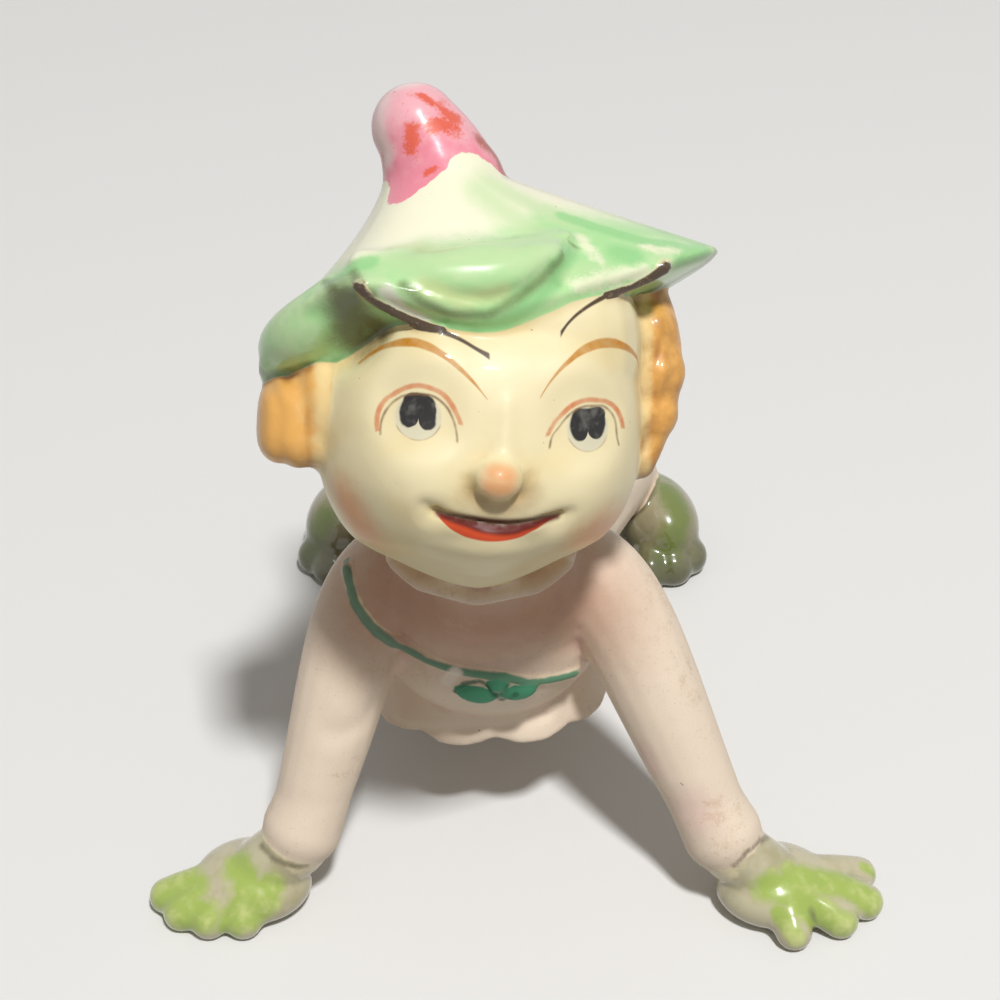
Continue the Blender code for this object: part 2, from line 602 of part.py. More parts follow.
def tooled(points, normals, flat, where, cuts):
    """Each cut is a line, its half width and its depth in millimetres; a negative depth is a ridge."""
    for line, width, depth in cuts:
        away = line_distance(flat, line) / width
        points = points - normals * (np.exp(-(away**2)) * where * depth)[:, None]
    return points


def tooled_skin(skin):
    """Cuts the mouth, the folds and the creases into the melted skin."""
    points = read(skin, "co") / MM
    normals = read(skin, "normal")
    to_head = np.array(head_place().inverted())
    local = points @ to_head[:3, :3].T + to_head[:3, 3] / MM
    front = (local[:, 1] < -4.0) & (points[:, 1] < -30.0)
    points = tooled(points, normals, local[:, [0, 2]], front, FACE_CUTS + HAT_CUTS)
    low_front = (points[:, 1] < -16.0) & (points[:, 2] < 40.0)
    points = tooled(points, normals, points[:, [0, 2]], low_front, BODY_CUTS)
    sides = (np.abs(local[:, 0]) > 17.5) & (local[:, 1] < 4.0)
    points = tooled(points, normals, local[:, [0, 2]], sides, HAIR_CUTS)
    skin.vertices.foreach_set("co", (points * MM).ravel())
    skin.update()


def grind_soles(thing):
    """Cuts hands and feet flat, so that the figurine stands on real flats."""
    grinder = bmesh.new()
    deep = 20 * MM
    block_place = Matrix.Translation((0.0, 0.0, SOLE_GRIND - deep / 2))
    bmesh.ops.create_cube(grinder, size=1.0, matrix=block_place @ Matrix.Diagonal((0.4, 0.4, deep, 1.0)))
    block = bpy.data.meshes.new("grinder")
    grinder.to_mesh(block)
    grinder.free()
    stone = bpy.data.objects.new("grinder", block)
    bpy.context.collection.objects.link(stone)
    cut = thing.modifiers.new("grind", "BOOLEAN")
    cut.operation = "DIFFERENCE"
    cut.solver = "EXACT"
    cut.object = stone
    seen = thing.evaluated_get(bpy.context.evaluated_depsgraph_get())
    ground = bpy.data.meshes.new_from_object(seen)
    bpy.data.objects.remove(stone, do_unlink=True)
    bpy.data.objects.remove(thing, do_unlink=True)
    return ground


def thinned(mesh, faces):
    """Keeps the form with fewer facets."""
    thing = bpy.data.objects.new("skin", mesh)
    bpy.context.collection.objects.link(thing)
    mesh.calc_loop_triangles()
    thin = thing.modifiers.new("thin", "DECIMATE")
    thin.ratio = min(1.0, faces / len(mesh.loop_triangles))
    seen = thing.evaluated_get(bpy.context.evaluated_depsgraph_get())
    light = bpy.data.meshes.new_from_object(seen)
    bpy.data.objects.remove(thing, do_unlink=True)
    return light


def stood_on_table(shape):
    """Moves the soles to z = 0 and the middle of the outline over the origin."""
    points = read(shape, "co")
    low, high = points.min(axis=0), points.max(axis=0)
    middle = (low + high) / 2
    shape.transform(Matrix.Translation((-middle[0], -middle[1], -low[2])))


def model():
    clay = bmesh.new()
    torso(clay)
    tunic_hem(clay)
    for side, palm, fingers in ((-1, LEFT_PALM, LEFT_FINGERS), (1, RIGHT_PALM, RIGHT_FINGERS)):
        arm(clay, side, palm)
        leg(clay, side)
        hand(clay, side, palm, fingers)
        foot(clay, side)
    neck(clay)
    collar(clay)
    head(clay)
    hair(clay)
    hat(clay)
    rough = fused(clay, FINE, 4, "rough")
    detail = bmesh.new()
    detail.from_mesh(rough)
    tree = BVHTree.FromBMesh(detail)
    for lay in (cord, bow, twigs):
        lay(detail, tree)
    skin = fused(detail, FINE, 1, "skin")
    tooled_skin(skin)
    whole = bpy.data.objects.new("whole", thinned(skin, FACES))
    bpy.context.collection.objects.link(whole)
    shape = grind_soles(whole)
    stood_on_table(shape)
    return shape


def main():
    clear_scene()
    shape = model()
    shape.name = "elf_figurine"
    figurine = bpy.data.objects.new("elf_figurine", shape)
    bpy.context.collection.objects.link(figurine)
    shape.materials.clear()
    shape.materials.append(glaze("ivory glaze", (0.80, 0.62, 0.48), 0.22))
    shape.shade_smooth()
    shape.set_sharp_from_angle(angle=math.radians(50))


main()
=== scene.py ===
# %% [markdown]
# # A painted and glazed earthenware elf
# The real figurine was cast in one plaster mould, so body, head, hat, cord, bow and twigs are one skin of
# clay. It was painted by hand over a white slip and then dipped in a clear glaze, which runs thin on
# ridges and pools in hollows. This lesson models the clay first, then works out which paint lies where,
# and paints it with nodes.

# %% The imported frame
import math

import bmesh
import bpy
import numpy as np
from mathutils import Matrix, Vector
from mathutils.bvhtree import BVHTree


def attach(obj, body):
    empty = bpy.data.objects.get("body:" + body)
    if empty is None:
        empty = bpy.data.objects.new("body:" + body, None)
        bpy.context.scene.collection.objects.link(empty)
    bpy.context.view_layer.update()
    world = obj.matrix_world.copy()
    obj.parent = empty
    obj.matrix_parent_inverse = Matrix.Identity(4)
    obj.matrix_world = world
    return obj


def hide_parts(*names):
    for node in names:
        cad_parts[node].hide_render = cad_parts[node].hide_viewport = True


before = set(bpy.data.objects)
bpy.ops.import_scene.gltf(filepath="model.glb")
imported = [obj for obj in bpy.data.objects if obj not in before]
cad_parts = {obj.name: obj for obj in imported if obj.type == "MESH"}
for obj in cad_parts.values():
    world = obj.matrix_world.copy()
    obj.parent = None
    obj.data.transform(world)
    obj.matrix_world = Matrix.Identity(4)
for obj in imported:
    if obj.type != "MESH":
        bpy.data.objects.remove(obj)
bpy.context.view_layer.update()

MM = 0.001

# %% [markdown]
# ## The camera
# The figurine was seen from above and quite near, with the head towards the lens. A long lens on a short
# stand gives the same perspective. The numbers come from laying the model's outline over the picture, and
# they are in the modeller's own layout, like all the sizes below.

# %% The camera
CAMERA_PLACE = Vector((0.0, -226.0, 208.0)) * MM
CAMERA_DOWN = math.radians(37.0)
CAMERA_LENS = 72.0
CAMERA_SENSOR = 36.0
CAMERA_NEAR = 10 * MM

camera = bpy.data.objects.new("camera", bpy.data.cameras.new("camera"))
camera.data.sensor_width = CAMERA_SENSOR
camera.data.lens = CAMERA_LENS
camera.data.clip_start = CAMERA_NEAR
camera.location = CAMERA_PLACE
camera.rotation_euler = (math.pi / 2 - CAMERA_DOWN, 0.0, 0.0)
bpy.context.scene.collection.objects.link(camera)
bpy.context.scene.camera = camera
print("camera looks down by", round(math.degrees(CAMERA_DOWN)), "degrees")

# %% [markdown]
# ## Modelling clay
# Soft rounded forms with no hard joins could be made from subdivided boxes, from metaballs, or by
# sculpting. Here balls, rolls and lofts are put together as a potter does, and one voxel remesh melts
# them into one skin. That keeps every size in a named number, and a groove or a bulge stays a real form
# that shows from all sides.

# %% Objects that come and go
def placed(name, data):
    """Puts a mesh, a curve or a lamp into the scene."""
    thing = bpy.data.objects.new(name, data)
    bpy.context.collection.objects.link(thing)
    return thing


def finished(thing):
    """Takes the shape that an object has after its modifiers, and clears the object away."""
    seen = thing.evaluated_get(bpy.context.evaluated_depsgraph_get())
    shape = bpy.data.meshes.new_from_object(seen)
    bpy.data.objects.remove(thing, do_unlink=True)
    return shape


# %% Pressing lumps together
def points_of(clay):
    return np.array([vert.co[:] for vert in clay.verts])


def move_points(clay, points):
    for vert, point in zip(clay.verts, points):
        vert.co = point


def add_clay(clay, more, matrix=None):
    """Presses another lump into the clay, after moving it by a matrix."""
    lump = bpy.data.meshes.new("lump")
    more.to_mesh(lump)
    more.free()
    if matrix is not None:
        lump.transform(matrix)
    clay.from_mesh(lump)
    bpy.data.meshes.remove(lump)


def squared(points, power):
    """Swells a round ball towards a box: 2 leaves it round, and more makes it squarer."""
    size = (np.abs(points) ** np.reshape(power, (-1, 1))).sum(axis=1)
    return points * (size ** (-1.0 / np.asarray(power)))[:, None]


# %% Balls and rolls
BALL_SEGMENTS = 32
BALL_RINGS = 20
ROLL_SIDES = 6
ROLL_STEPS = 10


def ball(clay, centre, radii, turn=(0.0, 0.0, 0.0), power=2.0):
    """A ball or an egg: radii is one number or one for each axis, and turn is in degrees."""
    sizes = (radii,) * 3 if isinstance(radii, float) else radii
    rotation = Matrix.Rotation(math.radians(turn[2]), 4, "Z")
    rotation @= Matrix.Rotation(math.radians(turn[1]), 4, "Y")
    rotation @= Matrix.Rotation(math.radians(turn[0]), 4, "X")
    egg = bmesh.new()
    bmesh.ops.create_uvsphere(egg, u_segments=BALL_SEGMENTS, v_segments=BALL_RINGS, radius=1.0)
    move_points(egg, squared(points_of(egg), power))
    add_clay(clay, egg, Matrix.Translation(centre) @ rotation @ Matrix.Diagonal((*sizes, 1.0)))


def roll(clay, path, radii):
    """A roll of clay along a path, with its own radius at each point and a ball at each end."""
    curve = bpy.data.curves.new("roll", "CURVE")
    curve.dimensions = "3D"
    curve.bevel_depth = 1.0
    curve.bevel_resolution = ROLL_SIDES
    curve.resolution_u = ROLL_STEPS
    curve.use_fill_caps = True
    spline = curve.splines.new("NURBS")
    spline.points.add(len(path) - 1)
    spline.order_u = min(4, len(path))
    spline.use_endpoint_u = True
    for knot, place, radius in zip(spline.points, path, radii):
        knot.co = (*place, 1.0)
        knot.radius = radius
    shape = finished(placed("roll", curve))
    clay.from_mesh(shape)
    bpy.data.meshes.remove(shape)
    for place, radius in ((path[0], radii[0]), (path[-1], radii[-1])):
        ball(clay, place, float(radius))


# %% Lofts, pushes and rings of values
def loft(clay, rings):
    """Closes rings of equally many points into one skin, with a pole at each end."""
    loops = [[clay.verts.new(point) for point in ring] for ring in rings]
    count = len(loops[0])
    for lower, upper in zip(loops, loops[1:]):
        for i in range(count):
            j = (i + 1) % count
            clay.faces.new((lower[i], lower[j], upper[j], upper[i]))
    for loop, order in ((loops[0], -1), (loops[-1], 1)):
        middle = sum((vert.co for vert in loop), Vector()) / count
        pole = clay.verts.new(middle)
        for i in range(count):
            j = (i + 1) % count
            clay.faces.new((loop[i], loop[j], pole)[::order])


def press(points, centre, reach, push):
    """Pushes the points near a centre, fading to nothing at the reach, as a thumb does."""
    away = np.linalg.norm(points - np.asarray(centre), axis=1) / reach
    fade = np.clip(1.0 - away**2, 0.0, 1.0) ** 2
    return points + fade[:, None] * np.asarray(push)


def around(values, angle):
    """Reads a ring of equally spaced values smoothly at any angle."""
    count = len(values)
    place = (angle / (2 * math.pi) * count) % count
    first = int(place)
    part = place - first
    before, here, after, beyond = (values[(first + k) % count] for k in (-1, 0, 1, 2))
    slope_in = (after - before) / 2
    slope_out = (beyond - here) / 2
    square = part * part
    cube = square * part
    start = (2 * cube - 3 * square + 1) * here + (cube - 2 * square + part) * slope_in
    return start + (3 * square - 2 * cube) * after + (cube - square) * slope_out


# %% [markdown]
# ## The body
# The elf squats like a frog: a pear-shaped body leans forward on two straight arms. The suit ends in a
# skirt of soft petals just above the table. All of it is round in section, so lofts through rings are
# quicker than boxes.

# %% The body and the tunic's hem
BODY_SHIFT = -1.5 * MM
SHOULDER_HEIGHT = 43.5 * MM
SHOULDER_HALF_WIDTH = 18.0 * MM
SHOULDER_Y = -24.0 * MM
CHEST_WIDTH = 32.0 * MM
BELLY_DEPTH = 35.0 * MM
RUMP_Y = 13.0 * MM
RUMP_HEIGHT = 21.0 * MM
RUMP_WIDTH = 33.0 * MM
HEM_HEIGHT = 18.5 * MM
HEM_FLARE = 1.4 * MM
HEM_PETALS = 11
HEM_PETAL_DROP = 1.0 * MM
HEM_SQUARENESS = 2.8
HEM_POINTS = 132
HEM_ROWS = (  # share of the reach, height in millimetres and share of the petals
    (0.78, 12.0, 0.0), (0.93, 6.0, 0.0), (1.0, 0.0, 1.0), (0.9, -0.6, 1.0), (0.5, 3.0, 0.0),
)
NECK_THICK = 19.0 * MM
TORSO_POINTS = 48


def torso(clay):
    """A pear-shaped body that leans forward from the rump to the shoulders."""
    middle = BODY_SHIFT
    neck = NECK_THICK / 2
    chest = CHEST_WIDTH / 2
    belly = BELLY_DEPTH / 2
    rump = RUMP_WIDTH / 2
    waist = (SHOULDER_HEIGHT + RUMP_HEIGHT) / 2 - 3 * MM
    stations = (
        (Vector((middle, SHOULDER_Y - 4 * MM, SHOULDER_HEIGHT + 7 * MM)), neck, neck),
        (Vector((middle, SHOULDER_Y - 1 * MM, SHOULDER_HEIGHT + 2 * MM)), 0.9 * chest, 0.62 * belly),
        (Vector((middle, SHOULDER_Y + 4 * MM, SHOULDER_HEIGHT - 7 * MM)), chest, 0.8 * belly),
        (Vector((middle, 0.4 * SHOULDER_Y, waist)), 1.03 * chest, belly),
        (Vector((middle, RUMP_Y, RUMP_HEIGHT)), rump, 0.86 * belly),
        (Vector((middle, RUMP_Y + 11 * MM, RUMP_HEIGHT - 2 * MM)), 0.66 * rump, 0.5 * belly),
    )
    side = Vector((1.0, 0.0, 0.0))
    rings = []
    for k, (centre, half_width, half_depth) in enumerate(stations):
        before = stations[max(k - 1, 0)][0]
        after = stations[min(k + 1, len(stations) - 1)][0]
        along = (after - before).normalized()
        across = along.cross(side)
        ring = []
        for i in range(TORSO_POINTS):
            angle = 2 * math.pi * i / TORSO_POINTS
            ring.append(centre + side * half_width * math.cos(angle) + across * half_depth * math.sin(angle))
        rings.append(ring)
    loft(clay, rings)
    ball(clay, stations[-2][0] + Vector((0.0, 4 * MM, 0.0)), (rump * 0.92, rump * 0.95, belly * 0.8))
    ball(clay, stations[2][0] + Vector((0.0, -1 * MM, -2 * MM)), (chest * 0.98, belly * 0.72, belly * 0.82))


def tunic_hem(clay):
    """The tunic's lower edge: a flared band round the belly that ends in petals."""
    half_width = CHEST_WIDTH / 2 + HEM_FLARE
    front = SHOULDER_Y - 5.5 * MM
    back = RUMP_Y + 4 * MM
    middle = Vector((BODY_SHIFT, (front + back) / 2, 0.0))
    half_depth = (back - front) / 2
    rings = []
    for share, lift, petal in HEM_ROWS:
        ring = []
        for i in range(HEM_POINTS):
            angle = 2 * math.pi * i / HEM_POINTS
            across, along = math.cos(angle), math.sin(angle)
            plan = (abs(across) ** HEM_SQUARENESS + abs(along) ** HEM_SQUARENESS) ** (-1 / HEM_SQUARENESS)
            wave = abs(math.cos(HEM_PETALS * angle / 2 + 0.5))
            drop = petal * HEM_PETAL_DROP * (wave - 1.0)
            reach = share * (1.0 + 0.03 * petal * wave) * plan
            rise = HEM_HEIGHT + lift * MM - drop - petal * 3 * MM * (1 + along) / 2 + 0.7 * MM * across
            out = Vector((half_width * across, half_depth * along, 0.0))
            ring.append(middle + out * reach + Vector((0.0, 0.0, rise)))
        rings.append(ring)
    loft(clay, rings)


print("body", round(RUMP_WIDTH / MM, 1), "mm wide, with", HEM_PETALS, "petals on the hem")

# %% [markdown]
# ## Arms, hands, legs and feet
# The arms are straight tapering rolls with a flared cuff. Hands and feet are webbed like a frog's: a flat
# palm and four rolls that fan out from it and melt together, so that the grooves between them stay soft.

# %% Arms and hands
ARM_THICK = 13.4 * MM
WRIST_THICK = 8.6 * MM
CUFF_FLARE = 1.1 * MM
CUFF_LENGTH = 7.0 * MM
LEFT_PALM = Vector((-33.4, -40.7, 0.0)) * MM
RIGHT_PALM = Vector((37.0, -41.5, 0.0)) * MM
PALM_LENGTH = 16.2 * MM
PALM_THICK = 9.4 * MM
FINGER_THICK = 5.4 * MM
WRIST_ASIDE = 6 * MM
WRIST_BACK = 1.2 * MM
LEFT_FINGERS = ((-11.5, -1.6), (-9.2, -4.6), (-5.4, -6.0), (-0.8, -6.0))  # from the palm, in mm
RIGHT_FINGERS = ((11.9, 3.0), (12.2, -1.9), (8.4, -5.1), (2.0, -7.1))


def wrist_of(side, palm):
    return palm + Vector((-side * WRIST_ASIDE, WRIST_BACK, PALM_THICK))


def arm(clay, side, palm):
    """A straight arm from the shoulder to the flared cuff."""
    thick = ARM_THICK / 2
    thin = WRIST_THICK / 2
    shoulder = Vector((BODY_SHIFT + side * SHOULDER_HALF_WIDTH, SHOULDER_Y, SHOULDER_HEIGHT))
    wrist = wrist_of(side, palm)
    elbow = shoulder.lerp(wrist, 0.45) + Vector((-side * 3.3 * MM, -0.5 * MM, 1.0 * MM))
    inside = shoulder + Vector((-side * 8 * MM, 2 * MM, 0.0))
    roll(clay, (inside, shoulder, elbow, wrist), (thick, thick * 1.04, thick * 0.96, thin))
    down = (wrist - elbow).normalized()
    cuff_end = wrist - down * 3.0 * MM
    cuff_start = cuff_end - down * CUFF_LENGTH
    roll(clay, (cuff_start, cuff_end), (thin + 0.5 * MM, thin + CUFF_FLARE))


def hand(clay, side, palm, tips):
    """A flat paw: a palm and four short fingers that fan out from it."""
    wrist = wrist_of(side, palm)
    flat = PALM_THICK / 2
    thin = FINGER_THICK / 2
    middle = palm + Vector((0.0, 0.0, 0.42 * PALM_THICK))
    ball(clay, middle, (PALM_LENGTH / 2, PALM_LENGTH * 0.42, flat))
    heel = (wrist + palm) / 2 + Vector((0.0, 0.0, 3.4 * MM))
    roll(clay, (wrist, heel, middle), (WRIST_THICK / 2, WRIST_THICK / 2, flat))
    for x, y in tips:
        ahead = Vector((x, y, 0.0)) * MM
        root = palm + ahead * 0.2 + Vector((0.0, 0.0, thin + 1.9 * MM))
        knuckle = palm + ahead * 0.62 + Vector((0.0, 0.0, thin + 1.5 * MM))
        tip = palm + ahead + Vector((0.0, 0.0, thin - 0.1 * MM))
        roll(clay, (root, knuckle, tip), (thin * 1.1, thin * 1.05, thin * 0.95))


print("hands are", round((RIGHT_PALM.x - LEFT_PALM.x) / MM, 1), "mm apart")

# %% Legs and feet
LEG_THICK = 15.0 * MM
FOOT_HALF_SPREAD = 25.0 * MM
FOOT_Y = 33.0 * MM
FOOT_THICK = 13.4 * MM
TOE_THICK = 6.8 * MM
ANKLE_HEIGHT = 13.0 * MM
FOOT_TURN = 24
TOE_ANGLES = (100.0, 62.0, 24.0)  # in degrees: 0 points straight out and 90 straight ahead


def sole_of(side):
    return Vector((BODY_SHIFT + 1.9 * MM + side * FOOT_HALF_SPREAD, FOOT_Y, 0.0))


def leg(clay, side):
    """A short leg that folds down from the rump."""
    ankle = sole_of(side) + Vector((-side * 5.5 * MM, 7.0 * MM, ANKLE_HEIGHT))
    hip = Vector((BODY_SHIFT + side * RUMP_WIDTH * 0.32, RUMP_Y + 3 * MM, RUMP_HEIGHT))
    half = LEG_THICK / 2
    knee = hip.lerp(ankle, 0.6) + Vector((0.0, 0.0, 2 * MM))
    roll(clay, (hip, knee, ankle), (half * 1.15, half, half * 0.8))


def foot(clay, side):
    """A bulbous webbed foot that points forward and out, with three toes."""
    sole = sole_of(side)
    half = FOOT_THICK / 2
    instep = sole + Vector((side * 0.2 * MM, 3.6 * MM, half))
    ball(clay, instep, (half * 0.98, half * 1.45, half), (0, 0, side * FOOT_TURN))
    toe = TOE_THICK / 2
    for degrees in TOE_ANGLES:
        angle = math.radians(degrees)
        ahead = Vector((side * math.cos(angle), -math.sin(angle), 0.0))
        root = sole + Vector((0.0, 0.0, toe + 1.5 * MM))
        tip = sole + ahead * (0.55 * FOOT_THICK - 1.6 * MM) + Vector((0.0, 0.0, toe - 0.2 * MM))
        roll(clay, (root, tip), (toe * 1.1, toe))


print("feet are", round(2 * FOOT_HALF_SPREAD / MM, 1), "mm apart, with", len(TOE_ANGLES), "toes each")

# %% [markdown]
# ## Neck, head and hair
# The head is an egg that is squarer at the brow than at the chin. Pushes like a thumb's make brows, eye
# hollows, cheeks and chin in it while it is still a ball, because a push moves many points at once and
# leaves no seam.

# %% Where the head sits
HEAD_LIFT = 28.5 * MM
HEAD_FORWARD = 10.0 * MM
HEAD_ASIDE = -1.1 * MM
HEAD_WIDTH = 37.4 * MM
HEAD_DEPTH = 37.0 * MM
CROWN_RISE = 19.3 * MM
CHIN_DROP = 17.4 * MM
SQUARENESS = ((-1.0, 1.6), (-0.85, 1.72), (-0.62, 2.1), (-0.35, 2.2), (0.15, 2.6))  # from the chin up
FACE_TILT = math.radians(32.0)
FACE_TURN = math.radians(8.0)
FACE_ROLL = math.radians(4.0)
FACE_LEAN = math.radians(4.6)  # the features lean a little more than the hat
FACE_ASIDE = 0.7 * MM
EYE_SPACING = 18.8 * MM
EYE_LEVEL = 3.6 * MM
NOSE_LEVEL = -3.2 * MM
NOSE_WIDTH = 5.9 * MM
MOUTH_LEVEL = -8.8 * MM
MOUTH_WIDTH = 13.6 * MM
CHEEK_FULLNESS = 1.6 * MM
COLLAR_RADIUS = 12.6 * MM
COLLAR_ASIDE = -0.8 * MM
COLLAR_FORWARD = 7.0 * MM
COLLAR_LIFT = 11.5 * MM
COLLAR_WAVES = 9
COLLAR_POINTS = 144
COLLAR_ROWS = (  # share of the radius and height in millimetres
    (0.5, 1.6), (0.8, 1.3), (0.98, 0.7), (1.0, 0.1), (0.96, -0.5), (0.8, -0.9), (0.5, -1.6),
)


def head_place():
    """Where the head's own middle lies, turned, tilted back and rolled."""
    middle = Vector((BODY_SHIFT + HEAD_ASIDE, SHOULDER_Y - HEAD_FORWARD, SHOULDER_HEIGHT + HEAD_LIFT))
    turn = Matrix.Rotation(FACE_TURN, 4, "Z") @ Matrix.Rotation(-FACE_TILT, 4, "X")
    return Matrix.Translation(middle) @ turn @ Matrix.Rotation(FACE_ROLL, 4, "Y")


def head_power(height):
    """How square the head is at a height, which is -1 at the chin and 1 at the crown."""
    return np.interp(height, *zip(*SQUARENESS))


def on_face(x, z, proud=0.0):
    """A point of the plain head's front, given where it lies on the leaning face."""
    across = x * math.cos(FACE_LEAN) + z * math.sin(FACE_LEAN) + FACE_ASIDE
    height = z * math.cos(FACE_LEAN) - x * math.sin(FACE_LEAN)
    rise = height / (CROWN_RISE if height > 0 else CHIN_DROP)
    power = float(head_power(rise))
    share = 1.0 - abs(2 * across / HEAD_WIDTH) ** power - abs(rise) ** power
    return np.array((across, -HEAD_DEPTH / 2 * max(share, 0.02) ** (1 / power) - proud, height))


# %% Collar and neck
def collar(clay):
    """A thin ruffle round the neck, just under the chin."""
    throat = (BODY_SHIFT + COLLAR_ASIDE, SHOULDER_Y - COLLAR_FORWARD, SHOULDER_HEIGHT + COLLAR_LIFT)
    middle = Vector(throat)
    rings = []
    for share, lift in COLLAR_ROWS:
        ring = []
        for i in range(COLLAR_POINTS):
            angle = 2 * math.pi * i / COLLAR_POINTS
            wave = math.sin(COLLAR_WAVES * angle + 0.4)
            radius = COLLAR_RADIUS * share * (1.0 + 0.03 * wave)
            height = lift * MM + 0.6 * MM * wave * share
            ring.append(middle + Vector((radius * math.cos(angle), radius * math.sin(angle), height)))
        rings.append(ring)
    loft(clay, rings)


def neck(clay):
    throat = Vector((BODY_SHIFT, SHOULDER_Y - 3 * MM, SHOULDER_HEIGHT + 3 * MM))
    top = Vector((BODY_SHIFT, SHOULDER_Y - 7.0 * MM, SHOULDER_HEIGHT + 19.5 * MM))
    roll(clay, (throat, throat.lerp(top, 0.5), top), (NECK_THICK / 2,) * 3)


print("the head's middle is at", [round(v / MM, 1) for v in head_place().translation])


# %% The head
def head(clay):
    """The head as an egg with a square brow, pressed into brows, eye hollows, cheeks, mouth and chin."""
    skull = bmesh.new()
    bmesh.ops.create_icosphere(skull, subdivisions=6, radius=1.0)
    unit = points_of(skull)
    tall = np.where(unit[:, 2] > 0, CROWN_RISE, CHIN_DROP)
    sizes = np.stack([np.full(len(unit), HEAD_WIDTH / 2), np.full(len(unit), HEAD_DEPTH / 2), tall], axis=1)
    points = squared(unit, head_power(unit[:, 2])) * sizes
    for side in (-1, 1):
        eye = on_face(side * EYE_SPACING / 2, EYE_LEVEL)
        cheek = on_face(side * 10.0 * MM, -5.5 * MM)
        brow = on_face(side * 9.0 * MM, 9.5 * MM)
        corner = on_face(side * MOUTH_WIDTH / 2, MOUTH_LEVEL + 1.4 * MM, 0.6 * MM)
        points = press(points, cheek, 9.0 * MM, (0.0, -CHEEK_FULLNESS, 0.0))
        points = press(points, eye, 6.5 * MM, (0.0, 1.5 * MM, 0.0))
        points = press(points, eye, 4.2 * MM, (0.0, -1.0 * MM, 0.0))
        points = press(points, brow, 6.5 * MM, (0.0, -0.7 * MM, 0.3 * MM))
        points = press(points, corner, 2.4 * MM, (0.0, 0.9 * MM, 0.0))
    points = press(points, np.array((-15.5, -11.0, 13.5)) * MM, 6.5 * MM, (0.8 * MM, 3.4 * MM, 0.0))
    points = press(points, on_face(0.0, -13.5 * MM), 8.0 * MM, (0.0, -1.4 * MM, 0.0))
    points = press(points, on_face(0.0, MOUTH_LEVEL - 2.2 * MM), 4.2 * MM, (0.0, -0.7 * MM, 0.0))
    move_points(skull, points)
    wide = NOSE_WIDTH / 2
    ball(skull, on_face(-0.3 * MM, NOSE_LEVEL, 0.4 * MM), (wide, wide * 0.95, wide * 0.84))
    bridge = on_face(0.1 * MM, NOSE_LEVEL + 0.5 * MM, -0.6 * MM)
    root = on_face(0.2 * MM, EYE_LEVEL + 1.5 * MM, -0.9 * MM)
    roll(skull, (bridge, root), (wide * 0.62, wide * 0.42))
    crown = Vector((2.4, 0.6, 11.0)) * MM
    ball(skull, crown, (16.2 * MM, 16.4 * MM, 9.6 * MM), power=3.0)
    add_clay(clay, skull, head_place())


# %% The bobbed hair
SIDE_LOCK = ((-1.0, 2, 18), (3.2, 0.5, 10.5), (2.4, 0, 3.5), (0.6, -0.5, -3.0))
SIDE_LOCK_HALF = (4.5, 4.6, 3.2, 1.8)
SIDE_CURLS = ((1.0, 12.5, 4.2), (1.7, 8.0, 4.3), (1.6, 3.2, 3.6))
BACK_LOCKS = range(18, 163, 16)  # bearings in degrees, from the right round the back


def hair(clay):
    """Bobbed hair: a square curl on the viewer's left, a wavy lock on the right and a mass behind."""
    curls = bmesh.new()
    half = HEAD_WIDTH / 2
    ball(curls, (-half - 0.8 * MM, 1.5 * MM, 2.5 * MM), (6.3 * MM, 9.0 * MM, 5.5 * MM), (0, 4, 0), 3.4)
    ball(curls, (-half + 1.0 * MM, -3.0 * MM, 5.0 * MM), (4.6 * MM, 6.0 * MM, 7.0 * MM))
    path = [Vector((half + x * MM, y * MM, z * MM)) for x, y, z in SIDE_LOCK]
    roll(curls, path, [thick * MM for thick in SIDE_LOCK_HALF])
    for x, z, size in SIDE_CURLS:
        ball(curls, (half + x * MM, -0.5 * MM, z * MM), size * MM)
    ball(curls, (half - 1.0 * MM, 6.0 * MM, 5.0 * MM), (5.0 * MM, 7.5 * MM, 9.0 * MM))
    for bearing in BACK_LOCKS:
        across = math.cos(math.radians(bearing))
        behind = math.sin(math.radians(bearing))
        top = Vector((across * (half - 5 * MM), behind * HEAD_DEPTH * 0.4, 12.0 * MM))
        nape = Vector((across * half, behind * HEAD_DEPTH * 0.52, 3.0 * MM))
        bottom = Vector((across * (half - 4 * MM), behind * HEAD_DEPTH * 0.47, -3.0 * MM - 4 * MM * behind))
        roll(curls, (top, nape, bottom), (4.6 * MM, 4.4 * MM, 3.4 * MM))
    add_clay(clay, curls, head_place())


print("hair of", len(BACK_LOCKS), "locks behind and", len(SIDE_CURLS), "curls at the side")

# %% [markdown]
# ## The hat
# A soft cone leans to one side. Its brim rises into a point on one side, hangs on the other, and sags in
# a pouch over the forehead. A loft between two closed lines, the brim's edge and the foot of the tip,
# holds such a form with a few numbers: the edge's reach and height at eight stations, read smoothly in
# between.

# %% The hat's sizes
HAT_TIP = Vector((-7.0, 1.0, 36.5)) * MM
TIP_MIDDLE = Vector((-5.1, 1.0, 34.0)) * MM
TIP_BASE = Vector((-3.1, 1.0, 30.4)) * MM
TIP_THICK = 15.2 * MM
TIP_ROUND = 5.2 * MM
BRIM_REACH = (18.0, 19.2, 29.0, 21.5, 20.5, 21.5, 25.8, 23.4)
BRIM_RISE = (15.4, 18.8, 22.2, 13.0, 4.0, 4.0, 8.2, 18.0)
LINING = ((0.35, 6.0), (0.72, 4.8), (0.95, 1.5))
HAT_POINTS = 96
HAT_ROWS = 14
HOLLOW = 1.15
HOLLOW_LEFT = 0.13
POUCH_THICK = 8.6 * MM
SAG = (
    (-14.0, -13.5, 20.2), (-9.0, -14.4, 18.7), (-3.0, -14.6, 18.0),
    (3.0, -14.2, 18.8), (7.6, -12.2, 21.2), (8.6, -10.6, 23.2),
)
